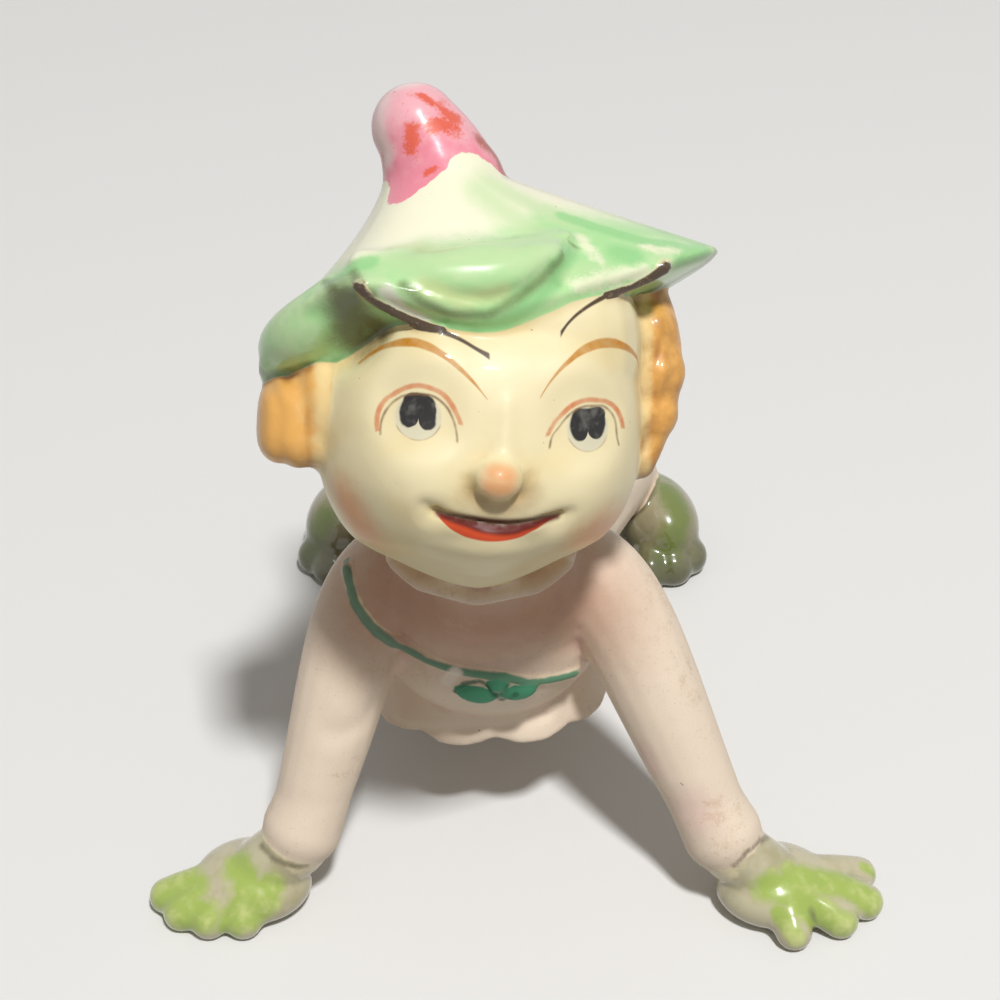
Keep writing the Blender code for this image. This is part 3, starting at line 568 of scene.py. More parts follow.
FOLD = (
    (-17.2, -11.5, 17.0), (-20.0, -9.5, 13.6), (-22.0, -5.0, 11.6), (-22.8, 2.0, 10.4), (-21.5, 7.0, 8.0),
)
print("brim with", len(BRIM_REACH), "stations, up to", max(BRIM_REACH), "mm out")


# %% The hat
def hat(clay):
    """A soft cone with a hollow flank, a leaning blunt tip, and a brim that dips, flares and hangs."""
    felt = bmesh.new()
    angles = [2 * math.pi * i / HAT_POINTS for i in range(HAT_POINTS)]
    edges = []
    tops = []
    for angle in angles:
        out = Vector((math.sin(angle), -math.cos(angle), 0.0))
        rise = Vector((0.0, 0.0, around(BRIM_RISE, angle) * MM))
        edges.append(out * around(BRIM_REACH, angle) * MM + rise)
        tops.append(TIP_BASE + out * TIP_THICK / 2)
    rings = []
    for inward, drop in LINING:
        lining = Vector((inward, inward, 1.0))
        rings.append([edge * lining - Vector((0.0, 0.0, drop * MM)) for edge in edges])
    for share in np.linspace(0.0, 1.0, HAT_ROWS):
        ring = []
        for angle, edge, top in zip(angles, edges, tops):
            part = (1.0 - share) ** (HOLLOW - HOLLOW_LEFT * math.sin(angle))
            flank = top.lerp(edge, part)
            flank.z = edge.z + (top.z - edge.z) * share
            ring.append(flank)
        rings.append(ring)
    loft(felt, rings)
    half = TIP_THICK / 2
    stem = TIP_BASE + Vector((-0.5, 0.0, -1.1)) * MM
    roll(felt, (stem, TIP_MIDDLE, HAT_TIP), (half * 0.96, half * 0.83, TIP_ROUND))
    brim_folds(felt)
    add_clay(clay, felt, head_place())


def brim_folds(felt):
    """The soft pouch that sags over the forehead and the heavy fold that hangs over the left curl."""
    half = POUCH_THICK / 2
    path = [Vector(point) * MM for point in SAG]
    roll(felt, path, (half * 0.4, half * 0.78, half * 1.03, half * 1.0, half * 0.7, half * 0.3))
    path = [Vector(point) * MM for point in FOLD]
    roll(felt, path, (half * 0.5, half * 0.8, half * 0.86, half * 0.74, half * 0.5))


# %% [markdown]
# ## Melting the lumps into one skin
# Each group of lumps keeps a search tree of its own. Later every point of the finished skin asks how near
# each group is, and so knows which paint it gets. The voxel size is about the finest form the casting
# still shows.

# %% Groups of clay
FINE = 0.42 * MM
SOFTENING = 9
SKIN_SOFTENING = 2


def both(maker, *extras):
    """Makes the left and then the right one of a pair."""
    def pair(clay):
        for k, side in enumerate((-1, 1)):
            maker(clay, side, *(extra[k] for extra in extras))
    return pair


PALMS = (LEFT_PALM, RIGHT_PALM)
GROUPS = {
    "suit": (torso, tunic_hem, both(arm, PALMS), both(leg), neck),
    "hands": (both(hand, PALMS, (LEFT_FINGERS, RIGHT_FINGERS)),),
    "feet": (both(foot),),
    "collar": (collar,),
    "head": (head,),
    "hair": (hair,),
    "hat": (hat,),
}


def fused(clay, fine, rounds, name):
    """Melts all the lumps into one skin and smooths the seams between them."""
    shape = bpy.data.meshes.new(name)
    clay.to_mesh(shape)
    clay.free()
    thing = placed(name, shape)
    melt = thing.modifiers.new("melt", "REMESH")
    melt.mode = "VOXEL"
    melt.voxel_size = fine
    soften = thing.modifiers.new("soften", "SMOOTH")
    soften.factor = 0.5
    soften.iterations = rounds
    return finished(thing)


trees = {}
clay = bmesh.new()
for group, makers in GROUPS.items():
    lumps = bmesh.new()
    for make in makers:
        make(lumps)
    trees[group] = BVHTree.FromBMesh(lumps)
    add_clay(clay, lumps)
rough = fused(clay, FINE, SOFTENING, "rough")
print("first skin has", len(rough.vertices), "points")

# %% [markdown]
# ## Cord, bow and twigs
# These are thin rolls that the mould raised on the skin. They could be modelled in the air and pushed
# down, but dropping points onto the finished skin along one direction lays them on it wherever it bends.

# %% Rolls laid on the skin
CORD_THICK = 1.5 * MM
BOW_LOOP = 4.4 * MM
TWIG_THICK = 1.4 * MM
CORD_LEFT = (
    (-19.6, 46.6), (-18.6, 44.1), (-16.1, 41.0), (-13.2, 37.8), (-9.6, 35.9), (-5.7, 35.3), (-2.6, 35.0),
)
CORD_RIGHT = ((0.5, 34.6), (3.7, 33.0), (6.9, 32.2), (9.8, 31.4))
BOW_PLACE = (-0.3, 33.2)
BOW_LOOPS = ((-3.1, 31.2, 2.8, 1.5, 14.0), (2.4, 31.4, 2.5, 1.4, -14.0))  # place, half sizes, turn
TWIG_LEFT = ((-14.6, 17.9), (-12.6, 15.8), (-8.6, 13.7), (-5.6, 12.8))
TWIG_RIGHT = ((13.0, 16.8), (16.0, 17.8), (18.0, 18.5), (20.0, 20.0))
TWIG_SWELL = ((0.95, 1.0, 0.85, 0.6), (0.65, 0.85, 1.0, 1.35))
BEFORE_ELF = Vector((0.0, -60 * MM, 0.0))
BEFORE_HEAD = -40 * MM
INWARD = Vector((0.0, 1.0, 0.0))


def laid_on(tree, places, start, toward):
    """Drops points onto the skin along a direction, and keeps those that land."""
    landed = []
    for place in places:
        spot = tree.ray_cast(start + place, toward)[0]
        if spot is not None:
            landed.append(spot)
    return landed


def on_front(tree, places):
    """Drops places, given across and up, onto the elf's front."""
    return laid_on(tree, [Vector((x, 0.0, z)) * MM for x, z in places], BEFORE_ELF, INWARD)


def cord(clay, tree):
    """The cord hangs from shoulder to shoulder."""
    landed = on_front(tree, CORD_LEFT + CORD_RIGHT)
    roll(clay, landed, [CORD_THICK / 2] * len(landed))


def bow(clay, tree):
    """A knot and two flat loops on the cord's lowest point."""
    for centre in on_front(tree, [BOW_PLACE]):
        ball(clay, centre, 0.3 * BOW_LOOP)
    for x, z, wide, high, turn in BOW_LOOPS:
        for centre in on_front(tree, [(x, z)]):
            ball(clay, centre, (wide * MM, 1.2 * MM, high * MM), (0, turn, 0))


def twigs(clay, tree):
    """Two thin twigs that peep out under the brim and run down over the forehead."""
    place = head_place()
    inward = place.to_3x3() @ INWARD
    half = TWIG_THICK / 2
    for route, swell in zip((TWIG_LEFT, TWIG_RIGHT), TWIG_SWELL):
        places = [place @ Vector((x * MM, BEFORE_HEAD, z * MM)) for x, z in route]
        landed = laid_on(tree, places, Vector(), inward)
        roll(clay, landed, [half * share for share in swell[: len(landed)]])


detail = bmesh.new()
detail.from_mesh(rough)
skin_tree = BVHTree.FromBMesh(detail)
for group, make in (("cord", cord), ("bow", bow), ("twigs", twigs)):
    lumps = bmesh.new()
    make(lumps, skin_tree)
    trees[group] = BVHTree.FromBMesh(lumps)
    add_clay(detail, lumps)
skin = fused(detail, FINE, SKIN_SOFTENING, "skin")
print("second skin has", len(skin.vertices), "points")

# %% [markdown]
# ## Tooled lines
# The mouth, the nostrils, the folds of hat and suit and the waves of the hair are finer than the lumps.
# They are cut into the skin itself: every point near a drawn line moves along its own normal, most at the
# line.

# %% Cutting grooves and raising ridges
def read(mesh, name, width=3):
    values = np.empty(len(mesh.vertices) * width)
    mesh.vertices.foreach_get(name, values)
    return values.reshape(-1, width)


def line_distance(flat, line):
    """How far each point is from a drawn line."""
    nearest = np.full(len(flat), np.inf)
    for start, end in zip(line, line[1:]):
        start, along = np.array(start), np.subtract(end, start)
        share = np.clip((flat - start) @ along / (along @ along), 0.0, 1.0)
        nearest = np.minimum(nearest, np.linalg.norm(flat - start - share[:, None] * along, axis=1))
    return nearest


def tooled(points, normals, flat, where, cuts):
    """Each cut is a line, its half width and its depth in millimetres; a negative depth is a ridge."""
    for line, width, depth in cuts:
        away = line_distance(flat, line) / width
        points = points - normals * (np.exp(-(away**2)) * where * depth)[:, None]
    return points


MOUTH_TOP = (
    (-6.5, -6.8), (-5.3, -7.2), (-3.0, -7.8), (-0.7, -8.3), (1.6, -8.5), (4.0, -8.2), (5.7, -7.7),
    (7.4, -7.4),
)
FACE_CUTS = (
    (MOUTH_TOP, 0.42, 0.7),
    (((-4.6, -8.9), (-2.4, -9.4), (0.0, -9.7), (2.2, -9.5), (4.5, -8.7)), 0.8, -0.2),
    (((-6.6, -6.7), (-7.8, -6.0)), 0.7, 0.35),
    (((7.4, -7.4), (8.5, -7.1)), 0.7, 0.3),
    (((-1.7, -5.3), (-1.2, -5.6)), 0.6, 0.35),
    (((2.3, -5.3), (2.7, -5.2)), 0.6, 0.35),
    (((-2.9, -4.6), (-3.3, -3.2)), 0.8, 0.3),
    (((3.5, -4.4), (3.8, -3.0)), 0.8, 0.3),
)
HAT_CUTS = (
    (((10.4, 25.2), (9.6, 22.6), (8.7, 20.6), (7.6, 18.3)), 1.2, 0.55),
    (((-10.2, 18.0), (-8.5, 17.4), (-4.7, 16.5), (-0.8, 16.2), (3.5, 17.4), (6.5, 20.0)), 0.9, 0.45),
    (((0.7, 28.4), (3.1, 26.1), (5.6, 24.5), (8.8, 23.2)), 1.1, 0.45),
    (((-9.4, 37.6), (-9.8, 34.1), (-10.2, 31.5), (-10.6, 29.5)), 1.3, 0.9),
    (((-2.0, 27.5), (-3.5, 24.5), (-6.0, 22.5)), 1.6, 0.25),
)
HEAD_FRONT = -4.0  # lines are cut only in front of this place on the head, in millimetres
ELF_FRONT = -30.0
place = head_place()
points = read(skin, "co")
normals = read(skin, "normal")
to_head = np.array(place.inverted())
local = (points @ to_head[:3, :3].T + to_head[:3, 3]) / MM
front = (local[:, 1] < HEAD_FRONT) & (points[:, 1] < ELF_FRONT * MM)
points = points / MM
points = tooled(points, normals, local[:, [0, 2]], front, FACE_CUTS + HAT_CUTS)
print("tooled", len(FACE_CUTS) + len(HAT_CUTS), "lines on head and hat")

# %% A thumb's stroke over the pouch
THUMB_LINE = (
    (-10.8, -36.7, 99.0), (-8.3, -33.7, 98.2), (-5.5, -32.6, 97.8),
    (-2.5, -32.1, 97.6), (2.2, -33.8, 99.1), (5.8, -30.1, 97.6),
)
THUMB_WIDTH = 2.2
THUMB_ROUNDS = 120


def neighbours(mesh):
    """The pairs of points that an edge joins, and how many neighbours each point has."""
    pairs = np.empty(len(mesh.edges) * 2, dtype=np.int32)
    mesh.edges.foreach_get("vertices", pairs)
    counts = np.maximum(np.bincount(pairs, minlength=len(mesh.vertices)), 1)
    return pairs.reshape(-1, 2), counts


def smoothed(values, pairs, counts, rounds):
    for _ in range(rounds):
        total = np.stack([
            np.bincount(pairs[:, 0], values[pairs[:, 1], k], len(values))
            + np.bincount(pairs[:, 1], values[pairs[:, 0], k], len(values))
            for k in range(3)
        ], axis=1)
        values = 0.5 * values + 0.5 * total / counts[:, None]
    return values


thumb = np.exp(-((line_distance(points, THUMB_LINE) / THUMB_WIDTH) ** 2))[:, None]
points = points + (smoothed(points, *neighbours(skin), THUMB_ROUNDS) - points) * thumb
print("smoothed the pouch into the cone at", int((thumb > 0.5).sum()), "points")

# %% Folds of the suit and waves of the hair
BODY_CUTS = (
    (((-14.6, 18.4), (-9.7, 19.7), (-6.8, 20.5), (-2.7, 20.9), (0.5, 21.0), (3.4, 21.7), (6.3, 22.4)),
     0.9, 0.5),
    (((-21.5, 28.2), (-20.0, 28.2), (-18.0, 28.6), (-16.4, 30.2)), 1.7, 0.35),
)
HAIR_CUTS = (
    (((-24.4, 7.5), (-23.2, 4.0), (-23.6, 0.5), (-22.6, -3.0)), 0.8, 0.28),
    (((-21.0, 8.0), (-20.2, 4.0), (-20.8, 1.0), (-19.8, -3.0)), 0.8, 0.2),
    (((19.6, 14.5), (21.0, 11.0), (19.8, 7.0), (20.8, 3.0), (19.6, -1.0)), 0.8, 0.35),
    (((22.2, 12.0), (23.0, 8.5), (21.6, 5.0), (21.4, 2.0)), 0.8, 0.3),
)
BODY_FRONT = -16.0
BODY_TOP = 40.0
HAIR_SIDE = 17.5
HAIR_FRONT = 4.0
low_front = (points[:, 1] < BODY_FRONT) & (points[:, 2] < BODY_TOP)
points = tooled(points, normals, points[:, [0, 2]], low_front, BODY_CUTS)
sides = (np.abs(local[:, 0]) > HAIR_SIDE) & (local[:, 1] < HAIR_FRONT)
points = tooled(points, normals, local[:, [0, 2]], sides, HAIR_CUTS)
skin.vertices.foreach_set("co", (points * MM).ravel())
skin.update()
print("tooled", len(BODY_CUTS) + len(HAIR_CUTS), "lines on suit and hair")

# %% [markdown]
# ## Thinning, grinding and standing
# The skin now has far more triangles than it needs. A collapse keeps them where the form bends. Real
# figurines are rubbed flat underneath on a wet stone, so hands and feet are cut by one plane, and that
# plane is the table.

# %% One piece on the table
SOLE_GRIND = 0.6 * MM
STONE_SIZE = 400 * MM
STONE_DEEP = 20 * MM
FACES = 192000


def grind_soles(thing):
    """Cuts hands and feet flat, so that the figurine stands on real flats."""
    grinder = bmesh.new()
    block_place = Matrix.Translation((0.0, 0.0, SOLE_GRIND - STONE_DEEP / 2))
    block_size = Matrix.Diagonal((STONE_SIZE, STONE_SIZE, STONE_DEEP, 1.0))
    bmesh.ops.create_cube(grinder, size=1.0, matrix=block_place @ block_size)
    block = bpy.data.meshes.new("grinder")
    grinder.to_mesh(block)
    grinder.free()
    stone = placed("grinder", block)
    cut = thing.modifiers.new("grind", "BOOLEAN")
    cut.operation = "DIFFERENCE"
    cut.solver = "EXACT"
    cut.object = stone
    ground = finished(thing)
    bpy.data.objects.remove(stone, do_unlink=True)
    return ground


def thinned(mesh, faces):
    """Keeps the form with fewer facets."""
    thing = placed("skin", mesh)
    mesh.calc_loop_triangles()
    thin = thing.modifiers.new("thin", "DECIMATE")
    thin.ratio = min(1.0, faces / len(mesh.loop_triangles))
    return finished(thing)


shape = grind_soles(placed("whole", thinned(skin, FACES)))
points = read(shape, "co")
middle = (points.min(axis=0) + points.max(axis=0)) / 2
stand = Vector((-middle[0], -middle[1], -points[:, 2].min()))
camera.location = CAMERA_PLACE + stand
shape.name = "glazed_elf"
elf = placed("glazed_elf", shape)
shape.calc_loop_triangles()
print("the elf has", len(shape.loop_triangles), "triangles")
print("size in mm", [round(v / MM, 1) for v in np.ptp(points, axis=0)])
print("moved by", [round(v / MM, 2) for v in stand])

# %% [markdown]
# ## Which paint lies where
# The painter followed the forms: green felt, orange hair, pink suit. So each point of the skin measures
# its distance to every group of clay. The difference between the nearest other group and its own is a
# signed distance to the border, and it is stored on the mesh. A node reads it, adds a little noise, and
# gets a brushed edge.

# %% Signed distances to the borders
FAR = 3.0


def nearness(tree, spots):
    away = np.full(len(spots), FAR)
    for k, spot in enumerate(spots):
        found = tree.find_nearest(spot, FAR * MM)[3]
        if found is not None:
            away[k] = found / MM
    return away


def store(mesh, name, values):
    layer = mesh.attributes.new(name, "FLOAT", "POINT")
    layer.data.foreach_set("value", np.asarray(values, np.float32))


spots = [Vector(point) for point in points]
away = {group: nearness(tree, spots) for group, tree in trees.items()}
for group in trees:
    others = np.min([away[other] for other in trees if other != group], axis=0)
    store(shape, group, others - away[group])
print("stored borders of", ", ".join(trees))

# %% [markdown]
# Glaze and dirt gather in hollows, and shade falls there, so several paints below grow darker in hollows
# as painted shade. A point lies in a hollow when it is below the average of its neighbours, so the skin is
# smoothed in a copy and compared with itself: a few rounds find scratches and many find broad folds.

# %% Hollows
pairs, counts = neighbours(shape)
normals = read(shape, "normal")
HOLLOWS = (("crease", 10), ("hollow", 70))  # rounds of smoothing, each on top of the ones before
soft = points
for name, rounds in HOLLOWS:
    soft = smoothed(soft, pairs, counts, rounds)
    below = ((soft - points) * normals).sum(axis=1) / MM
    store(shape, name, below)
    print(name, "from", round(float(below.min()), 2), "to", round(float(below.max()), 2), "mm")

# %% [markdown]
# ## Where the brush was laid, and where shade and highlights are painted
# Washes follow the clay, but dabs, streaks and blushes lie where the brush put them. Some strokes are
# painted shade and painted highlights: shade under the chin, under the brim, along the pouch's crease and
# at the wrists, and highlights on the brim. They could be drawn on a picture that wraps the elf; here each
# is a line of places on the skin with half a width, in the modeller's millimetres. How far inside a stroke
# a point lies is stored on the mesh: 1 on the line, 0 at the edge, -1 beyond.

# %% Strokes on the hat
HAT_PLACES = {  # each stroke is half a width and the places of its line
    "blotch": (
        (1.1, ((-6.5, -16.6, 106.2), (-5.4, -17.1, 105.4))),
        (1, ((-7.2, -18.7, 105.3), (-5.4, -18.4, 104.8))),
        (0.8, ((-10.1, -19.1, 104.9), (-10.2, -20.3, 103.3))),
        (0.5, ((-9.0, -16.1, 107.5), (-7.9, -16.5, 107.0))),
        (0.45, ((-13.6, -17.6, 100.7), (-13.4, -18.4, 99.2))),
        (0.4, ((-9.8, -26.3, 99.8), (-7.9, -25.4, 100.4))),
        (0.35, ((-7.2, -22.7, 101.9), (-8.3, -23.0, 101.4))),
    ),
    "ember": (
        (1, ((-2.3, -17.4, 102.6), (-0.2, -17.0, 100.0), (1.4, -19.2, 98.5))),
    ),
    "pale_tip": (
        (1.5, ((-13.7, -15.4, 106.0), (-13.9, -17.4, 103.7), (-13.2, -18.5, 101.3))),
        (1.3, ((-11.9, -13.4, 107.4), (-10.4, -13.2, 107.7))),
    ),
    "haze": (
        (1.8, ((-2.2, -24.9, 100.1), (0.9, -27.2, 98.5), (4.9, -29.7, 97.2))),
        (1.8, ((-1.0, -23.4, 100.2), (3.5, -24.4, 98.2), (7.6, -25.7, 96.8))),
        (2.2, ((-10.4, -37.9, 98.8), (-6.9, -38.6, 98.8), (-2.7, -38.9, 98.8), (1.9, -35.9, 99.2),
                (6.0, -30.2, 97.7))),
        (1.5, ((7.4, -34.9, 95.0), (11.0, -33.1, 94.8))),
    ),
    "fresh": (
        (0.9, ((7.2, -25.1, 97.0), (11.3, -26.0, 95.9), (16.9, -27.0, 94.6), (19.9, -26.0, 93.8))),
        (1.5, ((13.4, -29.9, 95.0), (14.8, -30.1, 94.7))),
        (1.5, ((20.9, -27.9, 93.4), (23.7, -25.0, 92.2))),
        (1, ((-5.5, -40.9, 92.4), (-2.3, -40.9, 92.0), (0.5, -40.5, 92.5), (3.3, -39.3, 94.1),
                (5.9, -36.1, 94.9))),
        (0.9, ((-18.5, -37.9, 96.0), (-16.5, -37.5, 97.2), (-14.0, -37.5, 98.3))),
        (1.2, ((7.6, -31.9, 96.2), (5.9, -35.9, 96.4))),
    ),
    # pale patches on the wing's top: painted highlights
    "cream": (
        (0.75, ((9.0, -28.5, 96.1), (10.6, -31.1, 95.3))),
        (0.7, ((16.4, -28.0, 94.7), (18.3, -28.2, 94.2), (20.0, -27.0, 93.9))),
        (0.9, ((8.4, -36.1, 94.5), (12.1, -33.9, 94.1), (16.1, -31.6, 93.5))),
    ),
    "mellow": (
        (1, ((-8.3, -40.5, 96.9), (-4.1, -40.8, 95.4), (0.1, -39.7, 95.8))),
    ),
    # dark green along the pouch's crease and lower side: painted shade
    "olive": (
        (0.55, ((-10.4, -40.5, 97.1), (-8.3, -41.4, 95.5), (-5.5, -41.4, 94.1), (-1.3, -41.0, 93.7),
                (2.3, -39.2, 95.0), (4.8, -37.2, 96.2), (6.8, -34.1, 97.0))),
        (0.5, ((-15.9, -38.2, 97.4), (-15.1, -40.9, 97.3), (-13.6, -40.8, 96.0))),
        (0.5, ((-19.2, -36.7, 95.4), (-18.0, -39.5, 96.1))),
    ),
    # dark olive in the hollow under the brim's front left corner: painted shadow
    "hollow_paint": (
        (2.4, ((-16.7, -39.8, 94.8), (-16.3, -38.8, 91.9), (-16.2, -37.9, 89.0))),
        (1.6, ((-14.9, -38.8, 91.9), (-13.2, -38.3, 90.1))),
    ),
    # darker green under the right wing: painted shade
    "wing_under": (
        (1.6, ((17.9, -25.0, 86.5), (20.0, -21.9, 84.9), (23.9, -22.2, 89.0))),
    ),
    # darker green low on the left flap: painted shade
    "flap_low": (
        (1, ((-27.6, -33.4, 81.8), (-26.9, -33.7, 80.6), (-24.3, -36.2, 82.6), (-21.7, -37.5, 84.6))),
    ),
    # near-white roll beside the left twig: painted highlight
    "white_roll": (
        (0.9, ((-12.1, -41.0, 96.4), (-10.5, -40.5, 94.0), (-8.4, -40.6, 92.6))),
    ),
}
print("strokes on the hat:", ", ".join(HAT_PLACES))

# %% Strokes on hands and feet
PAW_PLACES = {
    "leaf": (
        (2, ((-42.8, -41.4, 6.0), (-43.7, -42.2, 5.7), (-42.9, -43.3, 5.6), (-41.4, -43.9, 6.0))),
        (1.9, ((-46.2, -43.5, 4.3), (-43.9, -44.7, 4.7), (-42.1, -45.3, 5.5))),
        (1.9, ((-45.6, -44.7, 1.9), (-42.3, -47.5, 3.5), (-39.4, -48.0, 4.6))),
        (1.1, ((-41.2, -46.4, 5.1), (-39.4, -47.1, 5.1))),
        (1.7, ((-34.9, -42.4, 8.6), (-33.8, -44.3, 7.9), (-33.4, -46.1, 6.7), (-34.7, -47.9, 4.7),
                (-35.9, -48.4, 3.3))),
        (1.5, ((-30.7, -45.1, 7.2), (-31.0, -46.4, 5.9), (-32.6, -47.8, 4.3))),
        (1.7, ((35.7, -45.5, 7.8), (38.0, -45.9, 7.4), (40.3, -46.9, 6.0), (43.1, -47.9, 4.3),
                (45.9, -48.8, 3.6))),
        (1.6, ((39.0, -44.1, 8.1), (42.3, -43.6, 7.2), (45.8, -43.4, 6.3), (48.6, -44.3, 5.2),
                (50.2, -45.1, 4.0))),
        (0.6, ((49.4, -39.2, 5.0), (51.0, -39.3, 3.6))),
        (1, ((36.8, -47.9, 5.5), (38.1, -49.7, 4.6), (38.9, -50.8, 3.8))),
    ),
    "moss": (
        (2.4, ((-28.5, 30.7, 11.3), (-30.2, 29.2, 8.2), (-31.5, 28.5, 5.1))),
        (2.2, ((27.7, 35.5, 13.0), (29.2, 31.2, 11.5), (28.2, 28.1, 9.1), (26.8, 26.5, 6.1))),
    ),
    # dark lines where the wrists crease: painted shade of a crease that is not cut
    "groove": (
        (0.4, ((-31.6, -41.5, 11.5), (-29.8, -43.3, 10.8), (-27.4, -43.7, 10.0), (-25.8, -43.4, 9.6))),
        (0.35, ((30.8, -44.4, 10.8), (32.5, -43.7, 12.7), (34.3, -41.8, 12.7), (35.8, -39.7, 11.3))),
    ),
    "frill": (
        (0.8, ((-30.1, -40.0, 15.6), (-28.4, -42.1, 15.3), (-25.5, -43.0, 14.7), (-22.5, -42.0, 12.9))),
        (2.6, ((27.6, -43.7, 14.0), (30.1, -43.8, 14.5))),
        (0.6, ((33.7, -42.2, 13.6), (31.1, -44.4, 11.5))),
    ),
}
print("strokes on hands and feet:", ", ".join(PAW_PLACES))

# %% Strokes on face, suit and bow
SKIN_PLACES = {
    "blush": (
        (3.2, ((-17.0, -46.7, 72.0), (-15.9, -47.3, 69.8))),
        (3, ((10.3, -48.1, 69.4), (12.6, -43.3, 66.0))),
        (1.2, ((-0.5, -53.1, 81.3), (0.8, -53.2, 80.9))),
        (1.3, ((-0.9, -53.9, 80.0), (0.6, -53.8, 79.8))),
    ),
    "nose_shade": (
        (1.5, ((-2.9, -52.0, 77.9), (-1.6, -52.0, 76.5), (0.3, -52.0, 76.1), (2.2, -51.4, 76.4),
                (3.0, -51.0, 77.3))),
    ),
    "rosy": (
        (2.6, ((25.0, -41.4, 18.4), (25.6, -41.9, 17.3))),
        (1.5, ((18.7, -37.0, 24.5), (20.0, -38.0, 22.4))),
        (0.8, ((-26.1, -29.7, 33.8), (-26.8, -30.9, 30.6), (-27.4, -32.6, 28.0))),
    ),
    # a broad brown stroke over the chest under the chin: painted shadow of the head
    "under_chin": (
        (9.0, ((-13.0, -33.0, 46.0), (-4.0, -37.0, 44.0), (5.0, -37.0, 45.0), (8.5, -35.0, 45.5))),
    ),
    "bare_bow": (
        (0.9, ((-7.0, -32.6, 32.6), (-5.7, -33.6, 35.1))),
    ),
    "bow_dark": (
        (0.35, ((-5.9, -32.8, 31.0), (-4.7, -33.3, 33.0), (-2.6, -33.5, 33.6), (-1.3, -34.0, 32.7))),
        (0.35, ((-1.3, -34.0, 32.7), (0.3, -32.6, 29.5), (2.1, -33.9, 31.7))),
    ),
}
print("strokes on face, suit and bow:", ", ".join(SKIN_PLACES))

# %% Storing the strokes
CORD_COVER = 0.62


def coverage(places, strokes):
    """How far inside the nearest stroke each place lies."""
    inside = np.full(len(places), -1.0)
    for half, line in strokes:
        inside = np.maximum(inside, 1.0 - line_distance(places, line) / half)
    return inside


for places in (HAT_PLACES, PAW_PLACES, SKIN_PLACES):
    for name, strokes in places.items():
        store(shape, name, coverage(points / MM, strokes))
store(shape, "cord_line", coverage(points[:, [0, 2]] / MM, ((CORD_COVER, CORD_LEFT + CORD_RIGHT),)))
print("the mesh stores", len(shape.attributes), "layers")

# %% Standing on the table
SHARP = math.radians(60)
shape.transform(Matrix.Translation(stand))
shape.shade_smooth()
shape.set_sharp_from_angle(angle=SHARP)
print("smooth, but sharp at the ground soles")

# %% [markdown]
# ## Writing shader maths as Python
# A node tree for paint is mostly arithmetic. One small class wraps a socket, so that `1 - mask` adds the
# Math node by itself. Every other node comes from its one method: type, settings, and what goes into its
# sockets.

# %% Sockets that do arithmetic
class Wire:
    """An output socket of a node tree; arithmetic on it adds nodes."""

    def __init__(self, tree, socket=None):
        self.tree = tree
        self.socket = socket

    def node(self, kind, settings=None, inputs=None, output=0):
        made = self.tree.nodes.new(kind)
        for name, value in (settings or {}).items():
            if name == "curve":
                fill_curve(made.mapping, value)
            else:
                setattr(made, name, value)
        for name, value in (inputs or {}).items():
            if isinstance(value, Wire):
                self.tree.links.new(value.socket, made.inputs[name])
            else:
                made.inputs[name].default_value = value
        return Wire(self.tree, made.outputs[output]) if len(made.outputs) else None

    def maths(self, operation, *values):
        return self.node("ShaderNodeMath", {"operation": operation}, dict(enumerate(values)))

    def __add__(self, other):
        return self.maths("ADD", self, other)

    __radd__ = __add__

    def __sub__(self, other):
        return self.maths("SUBTRACT", self, other)

    def __rsub__(self, other):
        return self.maths("SUBTRACT", other, self)

    def __mul__(self, other):
        return self.maths("MULTIPLY", self, other)

    __rmul__ = __mul__

    def __truediv__(self, other):
        return self.maths("DIVIDE", self, other)

    def __abs__(self):
        return self.maths("ABSOLUTE", self)

    def __neg__(self):
        return self.maths("MULTIPLY", self, -1.0)


def fill_curve(mapping, knots):
    curve = mapping.curves[0]
    while len(curve.points) < len(knots):
        curve.points.new(0.5, 0.5)
    for point, knot in zip(curve.points, knots):
        point.location = knot
        point.handle_type = "AUTO_CLAMPED"
    mapping.update()


# %% [markdown]
# ## Brushes
# A stroke is a line with a width. In nodes, a drawn curve gives the line's height for each place across,
# and a second one its width. What is nearer than the width is painted. Round strokes, such as a lid over
# an eye, are drawn the same way but round a centre, with an angle instead of a place across.

# %% Steps and drawn lines
EDGE = 0.14  # half the width over which a fine brush's stroke fades, in millimetres


def step(value, low, high):
    """0 below low, 1 above high, and smooth in between; low may be the higher one."""
    settings = {"interpolation_type": "SMOOTHSTEP"}
    ends = {"From Min": min(low, high), "From Max": max(low, high)}
    rising = value.node("ShaderNodeMapRange", settings, {"Value": value, **ends})
    return rising if low < high else 1 - rising


def drawn(value, line):
    """Reads a drawn line: the height at a place across, level beyond its ends."""
    across = [x for x, _ in line]
    heights = [z for _, z in line]
    start, span = across[0], across[-1] - across[0]
    low, rise = min(heights), max(max(heights) - min(heights), 1e-6)
    knots = [((x - start) / span, (z - low) / rise) for x, z in line]
    level = value.node("ShaderNodeFloatCurve", {"curve": knots}, {"Value": (value - start) / span})
    return level * rise + low


def within(value, start, end, edge=EDGE):
    """1 between two places, fading at both."""
    return step(value, start - edge, start + edge) * step(value, end + edge, end - edge)


# %% Strokes, filled shapes and mixed colours
def stroke(across, height, line, widths, edge=EDGE):
    """Paint along a line that runs across; widths are half widths along it."""
    away = abs(height - drawn(across, line))
    half = drawn(across, widths)
    return step(half - away, -edge, edge) * within(across, line[0][0], line[-1][0], edge)


def between(across, height, top, low, edge=EDGE):
    """Paint that fills the space between two lines."""
    start, end = max(top[0][0], low[0][0]), min(top[-1][0], low[-1][0])
    under = step(drawn(across, top) - height, -edge, edge)
    return under * step(height - drawn(across, low), -edge, edge) * within(across, start, end, edge)


